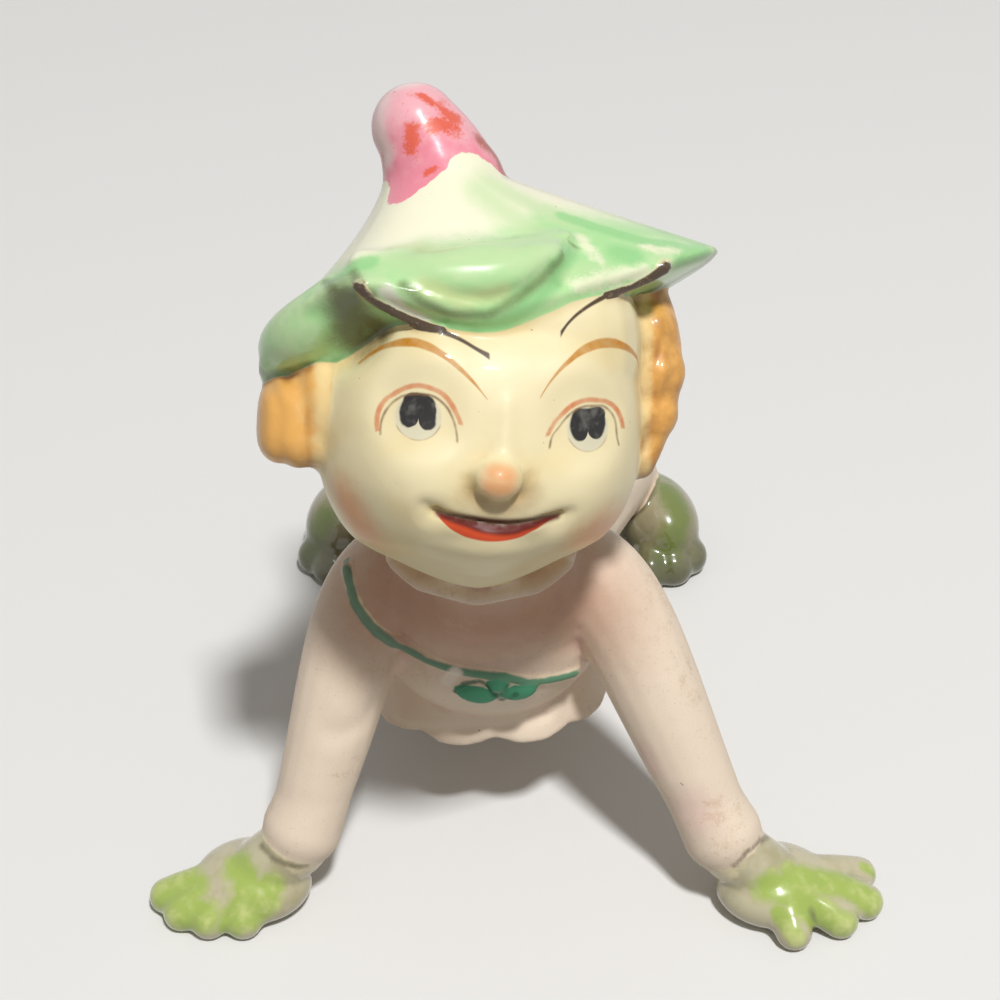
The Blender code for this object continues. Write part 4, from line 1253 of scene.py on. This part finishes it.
def most(*masks):
    """The strongest of several masks."""
    result = masks[0]
    for mask in masks[1:]:
        result = result.maths("MAXIMUM", result, mask)
    return result


def laid(under, *coats):
    """Lays coats of paint over a colour; each coat is a colour and its mask."""
    for over, mask in coats:
        under = mask.node("ShaderNodeMix", {"data_type": "RGBA"}, {0: mask, 6: under, 7: over}, 2)
    return under


def colour(red, green, blue):
    """A colour as a painter reads it from 0 to 255, turned into light."""
    def light(value):
        value /= 255.0
        return value / 12.92 if value <= 0.04045 else ((value + 0.055) / 1.055) ** 2.4
    return (light(red), light(green), light(blue), 1.0)


print("a middle grey of 128 is", round(colour(128, 128, 128)[0], 3), "in light")

# %% [markdown]
# ## The glaze
# One material holds all the paints, because they lie under one skin of glaze and run into each other. The
# face's strokes are drawn in the head's own space: across the face and up it, in millimetres, with the
# eyes level.

# %% The material and its measures
material = bpy.data.materials.new("painted_glaze")
material.use_nodes = True
tree = material.node_tree
tree.nodes.clear()
wire = Wire(tree)

coordinates = wire.node("ShaderNodeTexCoord", output=3)
place_mm = wire.node("ShaderNodeVectorMath", {"operation": "SCALE"}, {0: coordinates, 3: 1 / MM})
split = wire.node("ShaderNodeSeparateXYZ", {}, {0: place_mm})
x_mm, y_mm, z_mm = (Wire(tree, split.socket.node.outputs[k]) for k in range(3))
standing_head = Matrix.Translation(stand) @ place


def head_axis(row):
    """How far a point lies along one of the head's own axes."""
    inputs = {0: place_mm, 1: tuple(row[:3])}
    return wire.node("ShaderNodeVectorMath", {"operation": "DOT_PRODUCT"}, inputs, 1) + row[3] / MM


across, depth, height = (head_axis(row) for row in standing_head.inverted()[:3])
print("the head's middle is at", [round(v / MM, 1) for v in standing_head.translation])


# %% Stored layers and noise
def layer(name):
    """A signed distance that was stored on the mesh."""
    return wire.node("ShaderNodeAttribute", {"attribute_name": name}, output=2)


def noise(size, detail=2.0, rough=0.5, offset=(0.0, 0.0, 0.0)):
    """Cloudy noise from -0.5 to 0.5; size is the width of a cloud in millimetres."""
    moved = wire.node("ShaderNodeVectorMath", {"operation": "ADD"}, {0: place_mm, 1: offset})
    inputs = {"Vector": moved, "Scale": 1 / size, "Detail": detail, "Roughness": rough}
    return wire.node("ShaderNodeTexNoise", {}, inputs) - 0.5


brush = noise(1.6, 3.0)
cloud = noise(6.0, 3.0, offset=(30.0, 0.0, 0.0))
grain = noise(0.35, 2.0, offset=(0.0, 50.0, 0.0))
patch = noise(9.0, 1.0, offset=(4.0, 60.0, 9.0))
fields = {name: layer(name) for name in (*trees, "crease", "hollow")}
fold = fields["hollow"] + fields["crease"] * 2
print("measures:", ", ".join(fields))

# %% [markdown]
# ### Suit, hands and feet
# The suit is a thin pale pink wash that leaves the cream clay showing, and it is less glossy than the
# rest. Hands and feet are grey beige with green brushed over fingers and toes, under a thick glaze.

# %% Strokes as masks
def painted(name, soft=0.3, rag=0.5):
    """Strokes laid by hand, with a ragged edge; a soft one fades out over its whole width."""
    return step(layer(name) + (brush + grain * 0.6) * rag, -soft, soft)


def mixed_so_far(what):
    print(what, "done, with", len(tree.nodes), "nodes so far")


on_suit = most(fields["suit"], fields["cord"], fields["bow"])
head_mask = step(fields["head"], -0.15, 0.2)
suit_mask = step(on_suit + brush * 0.3, -0.15, 0.2)
hands_mask = step(fields["hands"] + brush * 0.3, -0.15, 0.2)
feet_mask = step(fields["feet"] + brush * 0.4, -0.2, 0.3)
collar_mask = step(fields["collar"] + brush * 0.3, -0.2, 0.2)
hair_mask = step(fields["hair"] + brush * 0.5, -0.2, 0.3)
hat_mask = step(fields["hat"] + brush * 0.25, -0.15, 0.2)
bow_mask = step(fields["bow"] + brush * 0.5, -0.2, 0.15)
mixed_so_far("masks")

# %% Ivory skin and pink suit
IVORY = colour(246, 232, 188)
HOLLOW_SHADE_IVORY = colour(230, 202, 142)
OLD_IVORY = colour(236, 214, 154)
SHELL = colour(244, 225, 203)
ROSE = colour(230, 188, 176)
ROSY = colour(238, 196, 190)
CHIN_SHADOW_BROWN = colour(184, 128, 98)
SMUDGE = colour(212, 182, 150)
SUIT_GRAIN = colour(196, 168, 146)
ivory = laid(
    IVORY,
    # warmer, darker ivory in hollows: painted shade, broken up by cloudy noise
    (HOLLOW_SHADE_IVORY, step(fields["hollow"] + cloud * 0.6, -0.1, 0.7) * 0.8),
    (OLD_IVORY, step(patch, 0.0, 0.25) * 0.55),
)
pink = laid(
    SHELL,
    # deeper rose in hollows is painted shade; the cloudy rose patches are the wash's own tone
    (ROSE, step(cloud + fields["hollow"] * 0.8, 0.1, 1.0)),
    (ROSY, painted("rosy", 0.95) * 0.4),
    # brown on the chest under the chin is the head's painted shadow
    (CHIN_SHADOW_BROWN, painted("under_chin", 0.95, 0.3) * 0.8),
    (SMUDGE, step(patch + brush * 0.7 + grain * 0.5, 0.12, 0.42) * 0.5),
    (SUIT_GRAIN, step(grain, 0.12, 0.24) * 0.22),
)
paint = laid(ivory, (pink, most(suit_mask, collar_mask)))
mixed_so_far("ivory and pink")

# %% Grey beige paws with green fingers and toes
STONE = colour(202, 194, 160)
DEEP_STONE = colour(176, 166, 128)
FOOT_STONE_AND_SHADE = colour(160, 151, 120)
FOLD_SHADE_ASH = colour(112, 102, 72)
LEAF = colour(162, 188, 74)
LIME_AND_SHEEN = colour(218, 224, 148)
OLIVE_SHADE = colour(84, 88, 50)
MOSS = colour(108, 126, 46)
WRIST_CREASE_SHADE = colour(92, 80, 52)
stone = laid(
    STONE,
    (DEEP_STONE, step(cloud + brush * 0.4, -0.1, 0.3)),
    # ash grey in the hands' folds is painted shade
    (FOLD_SHADE_ASH, step(fold + cloud * 0.4, 0.15, 0.9)),
)
leaf = laid(
    LEAF,
    # pale lime on the raised finger tops is a painted sheen; elsewhere it follows cloudy noise
    (LIME_AND_SHEEN, step(cloud * 1.5 + brush * 1.5 - fields["hollow"] * 0.6, 0.0, 0.9) * 0.8),
    # dark olive in the fingers' folds is painted shade
    (OLIVE_SHADE, step(fold + brush * 0.4, 0.0, 0.7)),
)
toes = most(painted("moss", 0.6, 1.0), step(y_mm + brush * 6.0 + cloud * 6.0, 40.0, 44.0))
foot_paint = laid(
    # the feet's grey beige is darker than the hands': their own tone, darkened further as painted shade
    FOOT_STONE_AND_SHADE,
    # ash grey in the feet's folds is painted shade
    (FOLD_SHADE_ASH, step(fold + cloud * 0.5, 0.1, 0.9)),
    (MOSS, toes * 0.9),
    # olive growing towards the soles is painted shade
    (OLIVE_SHADE, step(z_mm + brush * 5.0 + cloud * 5.0, 11.0, 3.0) * 0.85),
)
fingers = step(layer("leaf") + brush * 1.2 + cloud * 1.2, -0.85, 0.25)
paint = laid(
    paint,
    (stone, hands_mask),
    (leaf, hands_mask * fingers * 0.92),
    (pink, painted("frill", 0.25, 0.8) * step(z_mm, 3.0, 5.0)),
    # the dark brown line at each wrist is painted shade of a crease
    (WRIST_CREASE_SHADE, painted("groove", 0.95, 0.5) * 0.7),
    (foot_paint, feet_mask),
)
mixed_so_far("paws")

# %% [markdown]
# ### Hair and hat
# The hair is a tan wash that is thin towards the face. The hat's cone is cream, and mint green was
# brushed along the brim, strong at the edge and fading upwards. The tip is rose with a zigzag border and
# orange dabs.

# %% The hair
TAN = colour(240, 180, 96)
BROWN = colour(168, 108, 50)
HAIR_EDGE_SHADE = colour(112, 72, 32)
STRAW = colour(244, 222, 164)
streak = wire.node(
    "ShaderNodeTexWave", {"bands_direction": "X", "wave_profile": "SIN"},
    {"Vector": place_mm, "Scale": 0.11, "Distortion": 7.0, "Detail": 3.0, "Detail Scale": 0.12}, 1,
)
near_face = step(abs(across) + brush * 4.0 + streak * 1.5, 22.0, 18.4) * step(depth, 2.0, -3.0)
tan = laid(
    TAN,
    # brown streaks follow waves and clouds, and deepen in folds as painted shade
    (BROWN, step(fold * 0.6 + streak * 0.5 + cloud * 0.7, 0.35, 1.1)),
    # dark brown along the hair's lower edge is painted shade
    (HAIR_EDGE_SHADE, step(height + brush * 2.0, -1.4, -4.0) * 0.85),
    (BROWN, step(across, 14.0, 19.0) * step(brush + cloud, -0.3, 0.4) * 0.6),
    (STRAW, near_face * 0.75),
)
paint = laid(paint, (tan, hair_mask))
mixed_so_far("hair")

# %% The hat's cream cone and mint brim
CREAM = colour(247, 245, 216)
MINT = colour(176, 226, 156)
PALE_MINT_AND_SHEEN = colour(206, 232, 178)
MINT_FOLD_SHADE = colour(106, 150, 90)
GREEN_TOP = (  # how high the green reaches, for each bearing round the head
    (-180, 9.5), (-135, 10.0), (-90, 15.5), (-62, 19.5), (-48, 19.6), (-36, 21.2), (-14, 22.4), (8, 23.2),
    (24, 24.2), (44, 26.0), (66, 25.4), (90, 24.6), (135, 18.0), (180, 9.5),
)
HAT_STROKES = (  # strokes, colour, softness, raggedness and strength
    ("haze", (198, 226, 168), 0.9, 0.6, 0.65), ("fresh", (148, 212, 138), 0.5, 0.7, 0.8),
    # the pale patches on the wing are painted highlights
    ("mellow", (204, 216, 150), 0.95, 0.8, 0.8), ("cream", (242, 244, 208), 0.8, 2.0, 0.9),
    # the dark green along the pouch's crease is painted shade
    # the darker green under the right wing is painted shade
    ("olive", (104, 126, 70), 0.95, 0.5, 0.75), ("wing_under", (96, 122, 72), 0.7, 0.5, 0.85),
    # the darker green low on the left flap is painted shade
    # the near-white roll by the left twig is a painted highlight
    ("flap_low", (110, 140, 84), 0.6, 0.5, 0.8), ("white_roll", (240, 238, 222), 0.5, 0.5, 0.85),
)


def bearing_round(x, y):
    """The bearing of a point round an upright line, in degrees: 0 in front and 90 on the right."""
    return x.maths("ARCTAN2", x, y) * (180 / math.pi)


bearing = bearing_round(across, -depth)
green_mask = step(drawn(bearing, GREEN_TOP) - height + brush * 1.6 + cloud * 2.6, -2.2, 1.4)
mint = laid(
    MINT,
    # paler mint on ridges is a painted sheen, mixed with cloudy noise
    (PALE_MINT_AND_SHEEN, step(cloud + brush * 0.6 - fields["hollow"] * 0.5, 0.0, 0.5) * 0.8),
    # deep green in folds is painted shade
    (MINT_FOLD_SHADE, step(fold + cloud * 0.3, 0.35, 1.3)),
)
felt = laid(CREAM, (mint, green_mask))
for name, shade, soft, rag, strength in HAT_STROKES:
    felt = laid(felt, (colour(*shade), painted(name, soft, rag) * strength))
mixed_so_far("cone and brim")

# %% The rose tip
ROSE_PINK = colour(240, 140, 158)
PALE_PINK = colour(246, 182, 190)
WORN_PINK = colour(242, 212, 210)
ORANGE_RED = colour(228, 88, 52)
EMBER_RED = colour(168, 62, 34)
DOT_RED = colour(214, 84, 70)
BRIM_SHADOW = colour(84, 76, 42)
PINK_EDGE = (  # where the rose begins, for each bearing round the tip
    (-180, 29.0), (-150, 31.5), (-120, 29.0), (-90, 30.2), (-64, 29.5), (-42, 27.3), (-28, 28.8), (-8, 31.2),
    (10, 33.1), (42, 32.0), (80, 30.5), (115, 32.5), (150, 29.5), (180, 29.0),
)
tip_bearing = bearing_round(across - TIP_BASE.x / MM, -depth + TIP_BASE.y / MM)
pink_mask = step(height - drawn(tip_bearing, PINK_EDGE) + brush * 1.1, -0.12, 0.12)
rose = laid(
    ROSE_PINK,
    (PALE_PINK, step(height + brush * 9.0 + cloud * 9.0, 31.0, 37.0) * 0.9),
    (WORN_PINK, painted("pale_tip", 0.7, 0.8) * 0.9),
    (ORANGE_RED, painted("blotch", 0.7, 3.2) * 0.9),
    (EMBER_RED, painted("ember", 0.7, 1.6) * 0.9),
    (DOT_RED, step(noise(1.1, 2.0, 0.6, (3.0, 9.0, 1.0)), 0.17, 0.26) * 0.6),
)
felt = laid(felt, (rose, pink_mask))
# dark olive under the brim's left corner is a painted shadow
paint = laid(paint, (felt, hat_mask), (BRIM_SHADOW, painted("hollow_paint", 0.7, 0.5) * 0.85))
mixed_so_far("tip")

# %% [markdown]
# ### The face
# Brows, lids, lashes, eyes and mouth were drawn with a fine brush in a few strokes each. Their lines are
# given on the head in millimetres, so each is a short list of places. Nose and cheeks got a breath of
# peach.

# %% Peach and brows
PEACH = colour(238, 166, 108)
NOSE_BROWN = colour(150, 108, 62)
BROW = colour(200, 134, 40)
BROWS = (  # each brow's line and its half widths
    (((-14.5, 9.3), (-13.1, 10.4), (-11.2, 11.4), (-9.0, 11.7), (-7.6, 11.4), (-5.7, 10.4), (-4.1, 9.1),
      (-2.4, 7.4), (-0.9, 5.5)),
     ((-14.5, 0.1), (-11.2, 0.3), (-8.2, 0.5), (-5.7, 0.42), (-3.0, 0.3), (-0.9, 0.08))),
    (((4.9, 5.6), (6.3, 7.6), (8.2, 9.5), (10.6, 11.0), (13.0, 11.5), (15.2, 11.1), (17.0, 10.0),
      (17.9, 8.6)),
     ((4.9, 0.08), (8.2, 0.32), (12.6, 0.55), (15.2, 0.42), (17.9, 0.15))),
)
face_mask = step(depth, -1.0, -3.0) * step(fields["hat"], 0.0, -0.2)
brows = most(*(stroke(across, height, line, widths) for line, widths in BROWS))
paint = laid(
    paint,
    (PEACH, painted("blush", 0.95, 0.5) * head_mask * 0.85),
    (NOSE_BROWN, painted("nose_shade", 0.9, 0.5) * head_mask * 0.45),
    (BROW, brows * face_mask * (0.85 + brush * 0.8)),
)
mixed_so_far("peach and brows")

# %% The mouth
MOUTH_RED = colour(222, 84, 46)
MOUTH_DARK = colour(74, 8, 4)
MOUTH_LOW = (
    (-6.5, -6.8), (-5.6, -8.0), (-4.1, -9.2), (-2.4, -9.9), (-0.1, -10.2), (2.2, -10.0), (4.3, -9.1),
    (6.0, -8.1), (7.4, -7.4),
)
MOUTH_INNER = [(x, z - 0.12) for x, z in MOUTH_TOP]
MOUTH_INNER_WIDTH = ((-6.5, 0.3), (-3.5, 0.65), (0.5, 0.95), (3.5, 0.7), (7.4, 0.3))
mouth = between(across, height, MOUTH_TOP, MOUTH_LOW)
inner = stroke(across, height, MOUTH_INNER, MOUTH_INNER_WIDTH, 0.35)
paint = laid(paint, (MOUTH_RED, mouth * face_mask), (MOUTH_DARK, inner * face_mask * 0.92))
mixed_so_far("mouth")

# %% Eyes
EYES = (  # lines round each eye's centre: an angle, 0 at the top and 90 on the right, and a radius
    dict(
        centre=(-8.3, 3.6),
        lid=((-110, 4.6), (-85, 4.3), (-60, 3.9), (-35, 3.45), (-8, 3.4), (15, 3.4), (45, 3.6), (75, 3.9),
             (101, 4.6)),
        lash=((-116, 4.5), (-95, 3.9), (-65, 3.2), (-38, 2.8), (0, 2.5), (35, 2.75), (70, 3.2), (100, 3.9),
              (124, 4.9)),
        pupil=((-180, 0.2), (-150, 1.2), (-115, 1.9), (-80, 2.0), (-45, 2.35), (-25, 2.75), (5, 2.6),
               (35, 2.55), (65, 2.1), (95, 1.9), (120, 2.0), (146, 1.7), (170, 0.9), (180, 0.2)),
    ),
    dict(
        centre=(10.5, 2.1),
        lid=((-98, 4.8), (-78, 4.0), (-48, 3.3), (-18, 3.15), (10, 3.2), (38, 3.7), (62, 4.1), (84, 4.3),
             (92, 4.4)),
        lash=((-114, 5.0), (-100, 4.3), (-75, 3.1), (-40, 2.6), (0, 2.5), (40, 3.1), (68, 3.4), (98, 3.6),
              (118, 4.3)),
        pupil=((-180, 0.3), (-150, 1.5), (-120, 2.0), (-95, 2.2), (-60, 2.4), (-38, 2.6), (0, 2.25),
               (40, 2.9), (62, 2.5), (90, 2.1), (118, 1.9), (150, 1.3), (172, 0.6), (180, 0.3)),
    ),
)
EYE_WHITE = colour(220, 215, 190)
EYE_RADIUS = 2.5
LID = colour(220, 136, 88)
LASH = colour(128, 96, 66)
EYE_LINES = (("lash", LASH, 0.13, 0.75), ("lid", LID, 0.27, 0.8))  # colour, half width and strength
INK = colour(38, 36, 36)
WORN_INK = colour(116, 113, 108)
worn = step(noise(1.7, 2.0, 0.6, (4.0, 0.0, 7.0)), -0.05, 0.25)
black = laid(INK, (WORN_INK, worn * 0.75))
for eye in EYES:
    x, z = eye["centre"]
    off_x, off_z = across - x, height - z
    angle = bearing_round(off_x, off_z)
    radius = off_x.maths("SQRT", off_x * off_x + off_z * off_z)
    white = step(drawn(angle, eye["lash"]) - radius, -0.1, 0.25)
    white = white * step(radius, EYE_RADIUS + 0.15, EYE_RADIUS - 0.2)
    rim = step(abs(radius - EYE_RADIUS), 0.16, 0.02) * step(off_z, -0.6, -1.2)
    pupil = step(drawn(angle, eye["pupil"]) - radius + brush * 0.4, -0.12, 0.16)
    paint = laid(
        paint,
        (EYE_WHITE, white * face_mask * 0.8),
        (LASH, rim * face_mask * (0.3 + brush)),
        (black, pupil * face_mask),
    )
    for name, shade, width, strength in EYE_LINES:
        line = eye[name]
        mask = step(width - abs(radius - drawn(angle, line)) + brush * 0.15, -0.15, 0.15)
        mask = mask * within(angle, line[0][0], line[-1][0], 2)
        paint = laid(paint, (shade, mask * face_mask * (strength + brush * 0.9)))
mixed_so_far("eyes")

# %% [markdown]
# ### Twigs, cord and bow
# The twigs are raised and dark brown, and the painter drew their thin ends on with the tip of the brush.
# Cord and bow are sea green, and the brush missed them in places, so that the pink shows.

# %% Twigs, cord and bow
TWIG = colour(78, 60, 42)
WORN_TWIG = colour(132, 108, 78)
SHADED_SEA_GREY = colour(92, 136, 112)
SEA_GREEN = colour(64, 140, 106)
BOW_GREEN = colour(70, 146, 110)
BOW_DARK = colour(36, 92, 66)
BARE_PINK = colour(246, 232, 216)
TAILS = (  # each twig's thin end and its half widths
    (((-6.2, 13.1), (-3.7, 12.0), (-1.7, 10.8), (-0.5, 10.1)), ((-6.2, 0.36), (-2.6, 0.24), (-0.5, 0.36))),
    (((7.5, 12.5), (8.6, 13.9), (10.4, 15.3), (13.4, 16.9)), ((7.5, 0.36), (9.0, 0.22), (13.4, 0.32))),
)
tails = most(*(stroke(across, height, line, widths) for line, widths in TAILS)) * face_mask
twig_mask = most(step(fields["twigs"] + brush * 0.3, -0.05, 0.2), tails)
bark = laid(TWIG, (WORN_TWIG, step(brush + grain, 0.12, 0.3) * 0.7))
# greyer green on the cord's left part near the shoulder: painted shade
sea = laid(SHADED_SEA_GREY, (SEA_GREEN, step(x_mm + cloud * 12.0, -12.0, -3.0)))
cord_mask = step(layer("cord_line") + brush * 0.4, -0.25, 0.25) * step(fields["cord"], -0.9, -0.5)
paint = laid(
    paint,
    (bark, twig_mask),
    (sea, cord_mask * step(x_mm + brush * 8.0, 14.0, 8.0) * 0.9),
    (BOW_GREEN, bow_mask),
    (BOW_DARK, painted("bow_dark", 0.6, 0.4) * 0.85),
    (BARE_PINK, painted("bare_bow", 0.4, 0.6) * 0.85),
)
mixed_so_far("twigs, cord and bow")

# %% [markdown]
# ### Age and glaze
# The narrowest creases are painted a darker brown, which is painted shade with some dirt. A few specks
# were fired into the skin. The glaze is thick and glossy on hat and paws, thinner on the face and thinnest
# on the suit, so the clear coat changes with the paint. A faint ripple breaks up the reflections.

# %% Painted crease shade, dirt and specks
CREASE_SHADE_AND_DIRT = colour(112, 88, 56)
SPECK = colour(104, 82, 58)
crease_shade_and_dirt = step(fields["crease"] + grain * 0.1, 0.08, 0.4)
speck = step(noise(0.7, 1.0, 0.5, (11.0, 3.0, 5.0)), 0.29, 0.33)
# brown in the narrowest creases is painted shade with some dirt; the specks are fired into the skin
paint = laid(paint, (CREASE_SHADE_AND_DIRT, crease_shade_and_dirt * (0.4 - head_mask * 0.2)), (SPECK, speck * 0.55))
mixed_so_far("crease_shade_and_dirt")

# %% Gloss and ripple
COAT = 0.45
ROUGHNESS = 0.3
satin = most(suit_mask, collar_mask, hair_mask * 0.5)
paws = most(hands_mask, feet_mask)
coat = COAT + paws * 0.45 - satin * 0.39 - head_mask * (0.33 + mouth * 0.1)
roughness = ROUGHNESS + satin * 0.2 + head_mask * 0.12 - paws * 0.08 + brush * 0.08 + grain * 0.04
swell = noise(5.0, 1.0, offset=(2.0, 5.0, 8.0)) * 0.5
ripple = noise(2.2, 2.0, offset=(7.0, 7.0, 7.0)) * 0.05
relief = swell + ripple + grain * (0.012 + satin * 0.04) + twig_mask * 0.05
bump = wire.node("ShaderNodeBump", {}, {"Strength": 0.35, "Distance": 1 * MM, "Height": relief})
shader = wire.node("ShaderNodeBsdfPrincipled", {}, {
    "Base Color": paint, "Roughness": roughness, "Coat Weight": coat, "Normal": bump,
    "Coat Roughness": 0.06, "IOR": 1.5, "Specular IOR Level": 0.3,
})
wire.node("ShaderNodeOutputMaterial", {}, {"Surface": shader})
shape.materials.clear()
shape.materials.append(material)
mixed_so_far("glaze")

# %% [markdown]
# ## Stage and light
# A pale table and one soft lamp, high in front, show the form and the gloss without changing the paints,
# and the world fills the shadows a little. Table and world are pale only where the camera, a reflection
# or glass sees them. For stray light they are dark, or it would wash out the shade under the chin.

# %% The table
FLOOR_SIZE = 3.0
TABLE_TINT = (0.86, 0.855, 0.84, 1.0)
UNDER_TINT = (0.3, 0.29, 0.27, 1.0)


def direct(air):
    """1 for what the camera sees by itself, in a gloss or through glass, and 0 for stray light."""
    paths = air.node("ShaderNodeLightPath").socket.node
    rays = ("Is Camera Ray", "Is Glossy Ray", "Is Transmission Ray")
    return most(*(Wire(air.tree, paths.outputs[ray]) for ray in rays))


floor_mesh = bpy.data.meshes.new("table")
floor_clay = bmesh.new()
bmesh.ops.create_grid(floor_clay, x_segments=2, y_segments=2, size=FLOOR_SIZE / 2)
floor_clay.to_mesh(floor_mesh)
floor_clay.free()
table = placed("table", floor_mesh)
table_paint = bpy.data.materials.new("pale_table")
table_paint.use_nodes = True
table_paint.node_tree.nodes.clear()
top = Wire(table_paint.node_tree)
top_tint = laid(UNDER_TINT, (TABLE_TINT, direct(top)))
varnish = top.node("ShaderNodeBsdfPrincipled", {}, {"Base Color": top_tint, "Roughness": 0.7})
top.node("ShaderNodeOutputMaterial", {}, {"Surface": varnish})
floor_mesh.materials.append(table_paint)
print("the table is", FLOOR_SIZE, "m wide")

# %% The world and the lamp
BACKDROP_TINT = (0.9, 0.9, 0.88, 1.0)
FILL_TINT = (1.0, 0.98, 0.95, 1.0)
FILL_STRENGTH = 0.23
LAMP_PLACE = Vector((0.27, -0.72, 1.65))
LAMP_AIM = Vector((0.0, -0.02, 0.05))
LAMP_SIZE = 0.17
LAMP_POWER = 25.5

world = bpy.data.worlds.new("studio")
world.use_nodes = True
world.node_tree.nodes.clear()
air = Wire(world.node_tree)
backdrop = air.node("ShaderNodeBackground", {}, {"Color": BACKDROP_TINT, "Strength": 1.0})
fill = air.node("ShaderNodeBackground", {}, {"Color": FILL_TINT, "Strength": FILL_STRENGTH})
both_skies = air.node("ShaderNodeMixShader", {}, {0: direct(air), 1: fill, 2: backdrop})
air.node("ShaderNodeOutputWorld", {}, {"Surface": both_skies})
bpy.context.scene.world = world

light = bpy.data.lights.new("key", "AREA")
light.size = LAMP_SIZE
light.energy = LAMP_POWER
lamp = placed("key", light)
lamp.location = LAMP_PLACE
lamp.rotation_euler = (LAMP_AIM - LAMP_PLACE).to_track_quat("-Z", "Y").to_euler()
bpy.context.scene.view_settings.view_transform = "Standard"
print("one lamp of", LAMP_POWER, "W")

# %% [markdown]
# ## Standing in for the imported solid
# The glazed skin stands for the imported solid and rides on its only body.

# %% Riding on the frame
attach(elf, "root")
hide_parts("elf_figurine")
